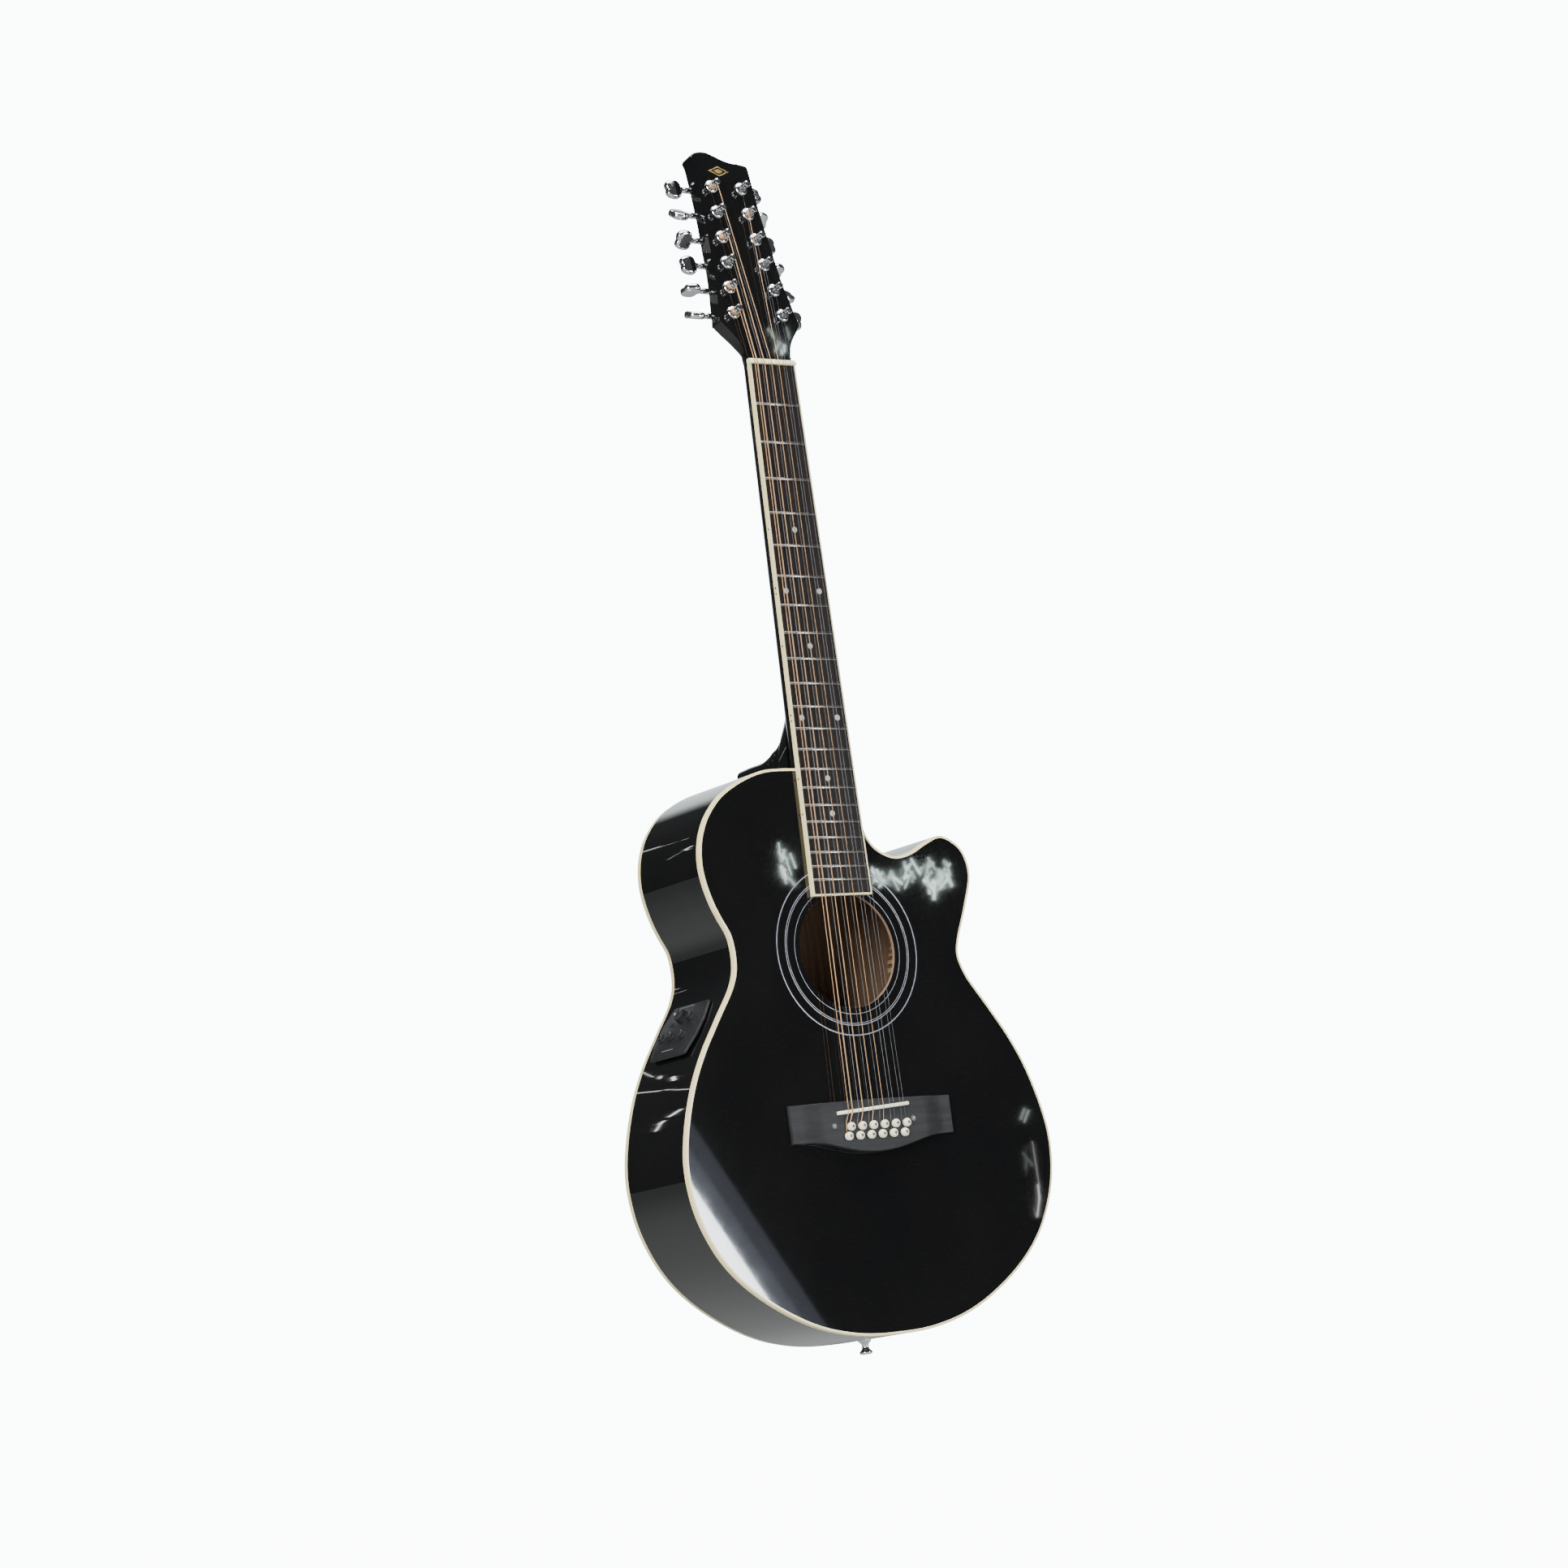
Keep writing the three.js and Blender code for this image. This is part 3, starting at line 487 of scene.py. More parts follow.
def block(x0, x1, y0, y1, z0, z1, ease=0.25):
    """A box with eased edges along z."""
    half_x, half_y = (x1 - x0) / 2, (y1 - y0) / 2
    ease = min(ease, half_x * 0.9, half_y * 0.9, (z1 - z0) * 0.45)
    outline = []
    for sx, sy, start in ((1, 1, 0), (-1, 1, 90), (-1, -1, 180), (1, -1, 270)):
        for angle in (radians(start + 30 * step) for step in range(4)):
            outline.append(Vector((sx * (half_x - ease) + ease * cos(angle),
                                   sy * (half_y - ease) + ease * sin(angle))))
    section = [(ease * 0.6, z0), (0, z0 + ease), (0, z1 - ease), (ease * 0.6, z1)]
    return moved(stacked(outline, section), (x0 + x1) / 2, (y0 + y1) / 2)


def upright(part):
    """Local x, y, z to body x, z, y: drawn on the front, thick towards the back."""
    return [Vector((p.x, p.z, p.y)) for p in part[0]], part[1]


def tube(route, radius, sides=12):
    """A round tube along a route, with flat ends, and its length at each ring."""
    route = vectors(route)
    legs = [(b - a).normalized() for a, b in zip(route, route[1:])]
    headings = [legs[0]] + [(a + b).normalized() for a, b in zip(legs, legs[1:])] + [legs[-1]]
    side = headings[0].orthogonal().normalized()
    rings, lengths, total = [], [], 0.0
    for i, (place, heading) in enumerate(zip(route, headings)):
        side = (side - heading * side.dot(heading)).normalized()
        up = heading.cross(side)
        total += (place - route[i - 1]).length if i else 0.0
        lengths.append(total)
        rings.append([
            place + radius * (side * cos(a) + up * sin(a))
            for a in (2 * pi * k / sides for k in range(sides))
        ])
    return loft(rings), lengths


def cut_into_strips(mesh, pitch):
    """Cuts every face at evenly spaced planes across x, so that the mesh can bend."""
    low = min(v.co.x for v in mesh.verts)
    high = max(v.co.x for v in mesh.verts)
    for i in range(1, int((high - low) / pitch) + 1):
        geometry = [*mesh.verts, *mesh.edges, *mesh.faces]
        bmesh.ops.bisect_plane(mesh, geom=geometry, plane_co=(low + i * pitch, 0, 0),
                               plane_no=(1, 0, 0), dist=1e-5)


def mesh_object(name, part, shape=None, lengths=None):
    """A mesh object in metres. lengths gives each ring of a tube its place along it."""
    mesh = bmesh.new()
    points = [mesh.verts.new(p * MM) for p in part[0]]
    faces = [mesh.faces.new([points[i] for i in face]) for face in part[1]]
    if lengths:
        layer = mesh.loops.layers.uv.new("along")
        mesh.verts.index_update()
        sides = len(points) // len(lengths)
        for face in faces:
            for corner in face.loops:
                at = corner.vert.index
                corner[layer].uv = (at % sides / sides, lengths[at // sides] * MM)
    bmesh.ops.remove_doubles(mesh, verts=mesh.verts, dist=1e-7)
    if shape:
        shape(mesh)
    bmesh.ops.recalc_face_normals(mesh, faces=mesh.faces)
    data = bpy.data.meshes.new(name)
    mesh.to_mesh(data)
    mesh.free()
    made = bpy.data.objects.new(name, data)
    link(made)
    return made


def piece(name, part, material, replaces=(), slot=None, body=BODY, sharp=35, **making):
    """Makes a shown piece from a part, riding on a CAD body."""
    made = mesh_object(name, part, **making)
    data = made.data
    data.polygons.foreach_set("use_smooth", [True] * len(data.polygons))
    data.set_sharp_from_angle(angle=radians(sharp))
    data.materials.append(material)
    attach(made, body)
    if replaces:
        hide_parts(*replaces)
    return made


def finished(name, part, material, slot, body=BODY, **making):
    """A shown piece in place of the CAD piece of the same name."""
    return piece(f"{name}_finished", part, material, [name], slot, body, **making)


# ---- Materials ----


def coordinates(tree, kind="Object", stretch=(1, 1, 1)):
    source = add_node(tree, "ShaderNodeTexCoord").outputs[kind]
    return add_node(tree, "ShaderNodeMapping", Vector=source, Scale=stretch).outputs["Vector"]


def noise(tree, scale, detail, stretch=(1, 1, 1), rough=0.55):
    node = add_node(tree, "ShaderNodeTexNoise", Vector=coordinates(tree, stretch=stretch),
                    Scale=scale, Detail=detail, Roughness=rough)
    return node.outputs["Fac"]


def ramp(tree, value, stops):
    node = add_node(tree, "ShaderNodeValToRGB", Fac=value)
    elements = node.color_ramp.elements
    while len(elements) < len(stops):
        elements.new(0.5)
    for element, (spot, color) in zip(elements, stops):
        element.position = spot
        element.color = (*color, 1)
    return node.outputs["Color"]


def textured(name, tint, stops, gloss, rough, relief=None, depth=(), **inputs):
    """A material from textures, each the numbers of a noise or a function that makes one: tint
    runs through the colour stops, gloss through the range of roughness, and relief raises the
    surface by depth, which is metres and strength."""
    made = bpy.data.materials.new(name)
    made.use_nodes = True
    tree = made.node_tree

    def texture(source):
        return source(tree) if callable(source) else noise(tree, *source)

    low, high = rough
    inputs["Base_Color"] = ramp(tree, texture(tint), stops)
    inputs["Roughness"] = add_node(tree, "ShaderNodeMapRange", Value=texture(gloss), To_Min=low,
                                   To_Max=high).outputs["Result"]
    if relief:
        distance, strength = depth
        inputs["Normal"] = add_node(tree, "ShaderNodeBump", Height=texture(relief),
                                    Distance=distance, Strength=strength).outputs["Normal"]
    set_inputs(tree, tree.nodes["Principled BSDF"], **inputs)
    return made


def shaded(color, share):
    return tuple(share * value for value in color)


def lacquer(name, dark, light):
    return textured(name, (9, 6), [(0.3, dark), (0.75, light)], (60, 5), (0.012, 0.035), (90, 2),
                    (0.00001, 0.12), Coat_Weight=0.4, Coat_Roughness=0.01, IOR=1.5)


def plastic_strip(name, dark, light):
    return textured(name, (35, 5), [(0.3, dark), (0.7, light)], (300, 3), (0.22, 0.36), (900, 2),
                    (0.00003, 0.3), Subsurface_Weight=0.08, Coat_Weight=0.3, Coat_Roughness=0.1)


def oiled_wood(name, dark, light, along, rough=(0.42, 0.6)):
    """Open-pored wood whose grain runs along body axis `along`."""
    stretch = [60.0, 60.0, 60.0]
    stretch[along] = 2.5
    figure = (1.2, 8, stretch, 0.62)
    pores = (1.1, 3, shaded(stretch, 9), 0.7)
    return textured(name, figure, [(0.32, dark), (0.5, light), (0.68, dark)], figure, rough,
                    pores, (0.00003, 0.35), Specular_IOR_Level=0.17)


def bone(name, dark, light):
    return textured(name, (120, 5), [(0.3, dark), (0.7, light)], (500, 3), (0.25, 0.45),
                    Subsurface_Weight=0.1)


def metal(name, color, rough, smear=70):
    stops = [(0.3, shaded(color, 0.9)), (0.7, color)]
    return textured(name, (smear, 4), stops, (smear * 6, 5), rough, (1500, 2), (0.000004, 0.3),
                    Metallic=1.0)


def wire(name, color, rough, pitch, depth):
    """String wire: fine rings round it, `pitch` metres apart along its length."""
    def rings(tree):
        waves = add_node(tree, "ShaderNodeTexWave", Vector=coordinates(tree, "UV"),
                         Scale=pi / 10 / pitch)
        waves.wave_type = "BANDS"
        waves.bands_direction = "Y"
        return waves.outputs["Fac"]

    stops = [(0.0, shaded(color, 0.6)), (0.55, color)]
    return textured(name, rings, stops, (400, 4), rough, rings, (depth, 0.8), Metallic=1.0)


def moulded(name, color, rough, grain=900.0):
    light = tuple(value * 1.5 + 0.003 for value in color)
    return textured(name, (200, 4), [(0.35, color), (0.7, light)], (grain / 3, 3), rough,
                    (grain, 3), (0.00004, 0.45))


def pearl(name, share):
    tints = ((0.3, (0.62, 0.66, 0.66)), (0.5, (0.86, 0.85, 0.80)), (0.7, (0.70, 0.66, 0.70)))
    stops = [(spot, shaded(tint, share)) for spot, tint in tints]
    return textured(name, (420, 3, (1, 1, 0.4)), stops, (200, 3), (0.15, 0.35), Coat_Weight=0.5,
                    Coat_Roughness=0.05)


BLACK = lacquer("black_lacquer", (0.0025, 0.0025, 0.0028), (0.0048, 0.0046, 0.0046))
CREAM = plastic_strip("cream_binding", (0.94, 0.76, 0.36), (0.98, 0.84, 0.46))
ROSEWOOD = oiled_wood("rosewood_board", (0.0045, 0.0032, 0.0026), (0.011, 0.007, 0.0056), 2)
BRIDGE_WOOD = oiled_wood("bridge_wood", (0.013, 0.0128, 0.0134), (0.022, 0.0215, 0.0222), 0)
INNER_WOOD = oiled_wood("inner_wood", (0.17, 0.11, 0.07), (0.27, 0.18, 0.12), 2, (0.6, 0.8))
# Brace wood darkened below its own tone: painted shade for the braces, linings and blocks inside the
# body.
SHADED_BRACE_WOOD = oiled_wood("shaded_brace_wood", (0.33, 0.23, 0.13), (0.42, 0.31, 0.18), 2, (0.65, 0.85))
BONE = bone("bone", (0.93, 0.83, 0.58), (0.98, 0.91, 0.70))
NUT_BONE = bone("nut_bone", (0.90, 0.86, 0.42), (0.96, 0.92, 0.52))
CHROME = metal("chrome", (0.82, 0.83, 0.85), (0.04, 0.12))
FRET_METAL = metal("nickel_silver", (0.34, 0.33, 0.31), (0.2, 0.34))
GOLD = metal("gold_foil", (0.50, 0.36, 0.13), (0.25, 0.42))
BRONZE = wire("bronze_winding", (0.60, 0.37, 0.21), (0.3, 0.42), 0.00032, 0.00004)
STEEL = metal("plain_steel", (0.17, 0.175, 0.18), (0.36, 0.5), 90)
PANEL_BLACK = moulded("panel_plastic", (0.006, 0.0066, 0.0072), (0.42, 0.6))
KNOB_BLACK = moulded("knob_plastic", (0.0075, 0.0075, 0.009), (0.38, 0.55), 600)
PRINT = moulded("pale_print", (0.12, 0.125, 0.13), (0.4, 0.5), 300)
# This pale pearl serves only as the painted glint in the middle of each bolt cover.
PEARL = pearl("pearl", 1.0)
DOT_PEARL = pearl("dot_pearl", 0.5)
LINE = moulded("rosette_line", (0.15, 0.16, 0.185), (0.16, 0.26), 400)
EBONY = moulded("black_inlay", (0.01, 0.01, 0.011), (0.25, 0.4), 500)
LAMP = moulded("indicator", (0.16, 0.17, 0.17), (0.1, 0.2), 100)

# ---- Body ----

OUTLINE = catmull(CUTAWAY + LOWER_BOUT + TAIL + mirrored(LOWER_BOUT) + UPPER_BOUT, 3.5)[::-1]


def arch_back(mesh):
    """Bends everything behind mid-depth to the back's cylinder."""
    for vertex in mesh.verts:
        if vertex.co.y > 0:
            vertex.co.y -= vertex.co.x ** 2 / (2 * BACK_ARCH_RADIUS * MM)


def arch_board(mesh):
    cut_into_strips(mesh, 8 * MM)
    arch_back(mesh)


def ring_round(section):
    """Sweeps (inset, y) points round the body outline."""
    loops = {d: inset(OUTLINE, d) for d in {d for d, _ in section}}
    return loft([[(p.x, y, p.y) for p in loops[d]] for d, y in section], closed=True)


def binding(outer_y, inward):
    """A strip with a softened outer corner. inward is +1 at the front and -1 at the back."""
    section = [(BINDING_WIDTH + 0.28, 0), (0.7, 0), (0.2, 0.2), (0, 0.7), (0, 5), (2.2, 5)]
    return ring_round([(d, outer_y + inward * y) for d, y in section])


def bare_inside(made, is_inside):
    """Gives the faces that look into the body unpainted wood."""
    made.data.materials.append(INNER_WOOD)
    for polygon in made.data.polygons:
        polygon.material_index = int(is_inside(polygon))


def add_body():
    circle = polar_ring(128, 0, lambda angle: SOUND_HOLE_RADIUS)
    hole = [Vector((x, y + SOUND_HOLE_Z)) for x, y, _ in circle]
    plate = inset(OUTLINE, BINDING_WIDTH + 0.28)
    top = upright(prism(plate, [hole], TOP, TOP + PLATE))
    made = finished("soundboard", top, BLACK, "top_lacquer")
    bare_inside(made, lambda polygon: polygon.center.y > (TOP + 0.6) * MM)
    back = upright(prism(plate, [], BACK - PLATE, BACK))
    made = finished("back", back, BLACK, "lacquer", shape=arch_board)
    bare_inside(made, lambda polygon: polygon.normal.y < -0.5)
    edges = TOP + BINDING_HEIGHT, BACK - BINDING_HEIGHT
    wall = ring_round([(0, edges[0]), (0, edges[1]), (2.3, edges[1]), (2.3, edges[0])])
    made = finished("rim", wall, BLACK, "lacquer", shape=arch_back)
    bare_inside(made, lambda polygon: min(polygon.vertices) >= 2 * len(OUTLINE))
    finished("front_binding", binding(TOP, 1), CREAM, "binding")
    finished("back_binding", binding(BACK, -1), CREAM, "binding", shape=arch_back)


ROSETTE = [(55.1, 0.55), (63.2, 0.55), (64.8, 0.75), (73.4, 1.05)]  # radius and width of each line


def add_rosette():
    for i, (radius, width) in enumerate(ROSETTE, 1):
        line = ring(radius - width / 2, radius + width / 2, -0.08, 0.4, 0.05, 160)
        line = upright(moved(line, y=SOUND_HOLE_Z, z=TOP))
        piece(f"rosette_line_{i}", line, LINE, slot="binding")


def add_linings():
    """Kerfed strips: a row of small blocks glued inside the rim, front and back."""
    loop, inner, foot = (inset(OUTLINE, distance) for distance in (2.5, 7.5, 3.4))
    for name, at, into in (("front_lining", TOP + PLATE, 1), ("back_lining", BACK - PLATE, -1)):
        parts = [loft([[
            (outer.x, at, outer.y), (near.x, at, near.y), (near.x, at + into * 5, near.y),
            (base.x, at + into * 13, base.y), (outer.x, at + into * 13, outer.y),
        ] for outer, near, base in zip(loop[i:i + 2], inner[i:i + 2], foot[i:i + 2])])
            for i in range(0, len(loop) - 2, 2)]
        piece(name, joined(*parts), SHADED_BRACE_WOOD, slot="bare_wood", shape=arch_back)


BACK_BRACES = (95, 175, 262, 412)


def add_back_braces():
    for i, z in enumerate(BACK_BRACES, 1):
        near = [p.x for p in OUTLINE if abs(p.y - z) < 6]
        left, right = max(x for x in near if x < 0) + 10, min(x for x in near if x > 0) - 10
        profile = vectors(((left, 0), (right, 0), (right, 3), (right - 22, 13), (left + 22, 13),
                           (left, 3)))
        points, faces = prism(profile, [], z - 4, z + 4)
        bar = [Vector((p.x, BACK - PLATE - GAP - p.y, p.z)) for p in points], faces
        piece(f"back_brace_{i}", bar, SHADED_BRACE_WOOD, slot="bare_wood", shape=arch_board)


add_body()
add_rosette()
add_linings()
add_back_braces()

# ---- Neck ----


def fret_z(number):
    return NUT_Z - SCALE_LENGTH * (1 - 2 ** (-number / 12))


def board_half(z):
    near, far = BOARD_HALF
    return near + (far - near) * (NUT_Z - z) / (NUT_Z - BOARD_END)


def hump(half, reach, squareness, steps=112):
    """Half of a superellipse, from +half round to -half."""
    result = []
    for i in range(steps + 1):
        c, s = cos(pi * i / steps), max(0.0, sin(pi * i / steps))
        across = copysign(abs(c) ** (2 / squareness), c)
        result.append((half * across, reach * s ** min(1.0, 2 / squareness)))
    return result


# The heel from front to back: depth, reach down from the neck joint, half width, squareness.
HEEL = [
    (-38, 84, 29.2, 1.7), (-27, 59.2, 29.4, 1.7), (-23, 42.2, 29.4, 2.2), (-19, 30.2, 29.3, 3.2),
    (-13, 24.7, 29, 4.4), (-7, 20.2, 28.8, 5.5), (6, 17.2, 28, 5.5), (27, 17.5, 26, 5.5),
    (45.5, 17.2, 24, 5.5),
]
SHAFT_END = 884.0
THROAT_END = 38.5  # along the headstock


def shaft_part():
    """The shaft, whose end past the nut is buried in the tilted headstock."""
    rings = []
    start, steps = NECK_JOINT + GAP, 60
    for i in range(steps + 1):
        z = start + (SHAFT_END - start) * i / steps
        half = board_half(min(z, NUT_Z + 10)) + BOARD_BINDING
        past = max(0.0, z - NUT_Z)
        top = TOP + past * tan(HEAD_TILT) + min(1.5, past / 4)
        bottom = TOP + 16.3 + 3 * (NUT_Z - z) / (NUT_Z - 560)
        rings.append([(x, top + y, z) for x, y in hump(half, bottom - top, 2.3)])
    return loft(rings)


def smooth_table(rows, count):
    """Rows of numbers resampled along an even spline through them."""
    result = []
    for i in range(count + 1):
        at = (len(rows) - 1) * i / count
        k = min(int(at), len(rows) - 2)
        t = at - k
        p0, p1, p2, p3 = (rows[max(0, min(len(rows) - 1, k + j))] for j in (-1, 0, 1, 2))
        result.append([
            0.5 * (2 * b + (c - a) * t + (2 * a - 5 * b + 4 * c - d) * t * t
                   + (3 * b - a - 3 * c + d) * t ** 3)
            for a, b, c, d in zip(p0, p1, p2, p3)
        ])
    return result


def heel_part():
    return loft([
        [(x, y, NECK_JOINT + GAP + z) for x, z in hump(half, reach, squareness)]
        for y, reach, half, squareness in smooth_table(HEEL, 120)
    ])


def throat_part():
    """The flare above the nut, round behind like the shaft and square where the head begins."""
    side = [p for p in catmull(HEAD_SIDE, 1.5) if p.y < THROAT_END + 0.5]
    rings = []
    for p in side:
        along = min(1.0, p.y / THROAT_END)
        squareness = 2.3 + 16 * along ** 2.2
        back = hump(p.x, HEAD_THICKNESS - 1, squareness)
        front = [(p.x - 1.0, 0), (p.x - 0.35, -0.3)]
        points = front + [(x, -1 - depth) for x, depth in back]
        points += [(-x, height) for x, height in reversed(front)]
        rings.append([(x, p.y, height) for x, height in points])
    return placed(loft(rings), HEAD)


def head_part():
    right = [p for p in catmull(HEAD_SIDE, 2) if p.y > THROAT_END - 2.5]
    crest = catmull([HEAD_SIDE[-1], *HEAD_CREST], 1.5)[1:]
    left = [p for p in vectors(mirrored(right)) if p.y < HEAD_CREST[-1][1]]
    section = [(1.0, 0), (0.35, -0.3), (0, -1.0), (0, -HEAD_THICKNESS + 1.4),
               (0.5, -HEAD_THICKNESS + 0.4), (1.3, -HEAD_THICKNESS)]
    return placed(stacked(right + crest + left, section), HEAD)


def union(name, parts):
    """Joins closed parts into one mesh and returns it as a part, in millimetres."""
    objects = [mesh_object(f"{name}_{i}", part) for i, part in enumerate(parts)]
    base, *others = objects
    for other in others:
        modifier = base.modifiers.new("join", "BOOLEAN")
        modifier.operation = "UNION"
        modifier.solver = "EXACT"
        modifier.object = other
    bpy.context.view_layer.update()
    shape = base.evaluated_get(bpy.context.evaluated_depsgraph_get()).to_mesh()
    points = [v.co / MM for v in shape.vertices]
    faces = [list(p.vertices) for p in shape.polygons]
    for made in objects:
        bpy.data.objects.remove(made)
    return points, faces


def add_neck():
    whole = union("neck_stock", [shaft_part(), heel_part(), throat_part(), head_part()])
    made = finished("neck", whole, BLACK, "lacquer", sharp=14)
    flat = made.modifiers.new("flat_faces", "WEIGHTED_NORMAL")
    flat.weight = 100
    flat.keep_sharp = True


BOARD_START = NUT_Z - GAP


def board_corners(margin=0.0):
    """The board's corners, from the nut's bass end round, drawn out except at the nut."""
    near, far = board_half(BOARD_START) + margin, BOARD_HALF[1] + margin
    return vectors(((-near, BOARD_START), (-far, BOARD_END - margin), (far, BOARD_END - margin),
                    (near, BOARD_START)))


def add_fretboard():
    board = upright(prism(board_corners(), [], BOARD_TOP, TOP - GAP))
    finished("fretboard", board, ROSEWOOD, "rosewood")


def add_frets():
    for number in range(1, FRETS + 1):
        z = fret_z(number)
        half = board_half(z) - 0.1
        rings = []
        for x, scale in ((-half, 0.35), (-half + 0.9, 1), (half - 0.9, 1), (half, 0.35)):
            arch = [(x, BOARD_TOP - scale * 1.05 * sin(pi * k / 8) ** 0.8,
                     z + 1.15 * cos(pi * k / 8)) for k in range(9)]
            rings.append(arch + [(x, BOARD_TOP + 0.4, z - 1.15), (x, BOARD_TOP + 0.4, z + 1.15)])
        piece(f"fret_{number:02d}", loft(rings), FRET_METAL, slot="steel_string", sharp=50)


def add_board_binding():
    edge = board_corners(BOARD_BINDING) + board_corners()[::-1]
    strip = upright(prism(edge, [], BOARD_TOP, TOP - GAP / 2))
    finished("fretboard_binding", strip, CREAM, "binding")


# Fret spaces with dots, and how far each dot is from the centre line.
DOTS = [(5, [0]), (7, [-17.7, 17.7]), (9, [0]), (12, [-18.9, 18.9]), (15, [0]), (17, [0])]


def add_dots():
    face, side = [], []
    for number, places in DOTS:
        z = (fret_z(number) + fret_z(number - 1)) / 2
        dot = placed(disc(2.6, -0.3, 0.06, 0.05), FACING)
        face += [moved(dot, x, BOARD_TOP, z) for x in places]
        dot = placed(disc(0.95, -0.3, 0.04, 0.03, 24), Matrix.Rotation(-pi / 2, 4, "Y"))
        for offset in ([0] if len(places) == 1 else [-2.5, 2.5]):
            side.append(moved(dot, -board_half(z) - BOARD_BINDING, -51.6, z + offset))
    piece("fretboard_dots", joined(*face), DOT_PEARL, slot="bone")
    piece("side_dots", joined(*side), EBONY, slot="black_plastic")


def crossing(profile, half):
    """A bar across the neck with its (y, z) profile and slightly eased ends."""
    centre = sum(vectors(profile), Vector((0, 0))) / len(profile)
    rings = []
    for x, scale in ((-half, 0.93), (-half + 0.3, 1), (half - 0.3, 1), (half, 0.93)):
        rings.append([(x, *(centre + (Vector(p) - centre) * scale)) for p in profile])
    return loft(rings)


def add_nut():
    back = NUT_Z + 4.8
    profile = [(TOP - GAP, NUT_Z), (TOP - GAP, back), (-53.6, back), (-54.6, back - 0.5),
               (-55.4, back - 1.8), (-55.85, NUT_Z + 1.4), (-55.9, NUT_Z + 0.6), (-55.6, NUT_Z)]
    finished("nut", crossing(profile, 24.5), NUT_BONE, "bone")


def add_badge():
    """A plain gold lozenge inlaid near the crest."""
    edge = vectors(((0, -5), (11, 0), (0, 5), (-11, 0)))
    border = prism(edge, [inset(edge, 1.1)], -0.3, 0.07)
    middle = prism(inset(edge, 2.4), [], -0.3, 0.07)
    badge = placed(joined(border, middle), spot_on(HEAD, -4, 188))
    piece("headstock_badge", badge, GOLD, slot="chrome")


add_neck()
add_fretboard()
add_frets()
add_board_binding()
add_dots()
add_nut()
add_badge()

# ---- Bridge ----

BRIDGE_HALF = 85.0
BRIDGE_HEIGHT = 8.0
BRIDGE_FACE = TOP - GAP - BRIDGE_HEIGHT
HALF_BELLY = [(17, 167.9), (30, 170.2), (42, 173), (54, 175.9), (66, 177.8)]
BELLY = mirrored(HALF_BELLY) + [(0, 166.8)] + HALF_BELLY
CROWN_EDGE = [(30, 211), (0, 211.5), (-30, 211)]


def bridge_height(x):
    """Height of the bridge above the soundboard: a thick middle, hollowed wings, thin tips."""
    fall = min(1.0, max(0.0, (abs(x) - 52) / 24))
    return BRIDGE_HEIGHT - 4.8 * (fall * fall * (3 - 2 * fall))


def shape_bridge(mesh):
    cut_into_strips(mesh, 2 * MM)
    for vertex in mesh.verts:
        over = bridge_height(vertex.co.x / MM) / BRIDGE_HEIGHT
        vertex.co.y = (TOP - GAP) * MM + (vertex.co.y - (TOP - GAP) * MM) * over


def add_bridge():
    edge = vectors([(-BRIDGE_HALF, 178.4), *catmull(BELLY, 3), (BRIDGE_HALF, 178.4),
                    (BRIDGE_HALF, 210.6), *CROWN_EDGE, (-BRIDGE_HALF, 210.6)])
    section = [(0, 8.0), (0, 0.8), (0.12, 0.4), (0.4, 0.12), (0.8, 0)]
    slab = stacked(edge, [(distance, BRIDGE_FACE + depth) for distance, depth in section])
    finished("bridge", upright(slab), BRIDGE_WOOD, "rosewood", sharp=40, shape=shape_bridge)


def add_saddle():
    """A bone bar with rounded ends and crown, slanted in its slot."""
    (x0, z0), (x1, z1) = SADDLE_ENDS
    along = Vector((x1 - x0, 0, z1 - z0))
    length = along.length
    floor, crown, soft = -52.8, SADDLE_CROWN, 2.6
    side = vectors(((0, floor), (length, floor)))
    for centre, start in ((length - soft, 0), (soft, 90)):
        for step in range(7):
            angle = radians(start + 15 * step)
            rise = soft - soft * sin(angle)
            side.append(Vector((centre + soft * cos(angle), crown + rise)))
    section = [(0.9, -1.5), (0.35, -1.35), (0, -0.9), (0, 0.9), (0.35, 1.35), (0.9, 1.5)]
    bar = placed(stacked(side[::-1], section), frame_of(along, (0, 1, 0), (x0, 0, z0)))
    finished("saddle", bar, BONE, "bone")


PIN_PLACES = [
    (PIN_ROWS[row][0] + PIN_PITCH * i, PIN_ROWS[row][1]) for row in (0, 1) for i in range(6)
]
PIN_HEAD = [(2.5, -1), (2.5, 0), (3.3, 0.1), (3.45, 0.5), (3.2, 0.9), (3.55, 1.4), (3.7, 2.2),
            (3.5, 3.1), (2.9, 3.9), (1.9, 4.45), (0.9, 4.65), (0, 4.7)]
BOLT_PLACES = [(-43.7, 191), (40.5, 192.8)]


def on_bridge(name, part, place, material, slot, **making):
    """A small turned piece on the bridge's face."""
    x, z = place
    part = moved(placed(part, FACING), x, BRIDGE_FACE, z)
    return piece(name, part, material, slot=slot, **making)


def add_pins():
    eye = disc(1.3, 4.2, 4.76, 0.05, 24)
    for i, place in enumerate(PIN_PLACES, 1):
        pin = turned(PIN_HEAD, 40)
        pin = on_bridge(f"bridge_pin_{i:02d}", pin, place, BONE, "bone", sharp=50)
        dot = on_bridge(f"pin_dot_{i:02d}", eye, place, EBONY, "black_plastic")
        dot.parent = pin
    for i, place in enumerate(BOLT_PLACES, 1):
        # Each cover is a black collar round a tiny pale pearl dot, sized and coloured as the glint
        # on the cover: a painted highlight.
        collar, glint_dot = ring(0.5, 2.8, -0.4, 0.12), disc(0.5, -0.4, 0.1, 0.05)
        on_bridge(f"bolt_cover_{i}", collar, place, EBONY, "black_plastic")
        on_bridge(f"bolt_cover_painted_glint_{i}", glint_dot, place, PEARL, "bone")


add_bridge()
add_saddle()
add_pins()

# ---- Strings ----

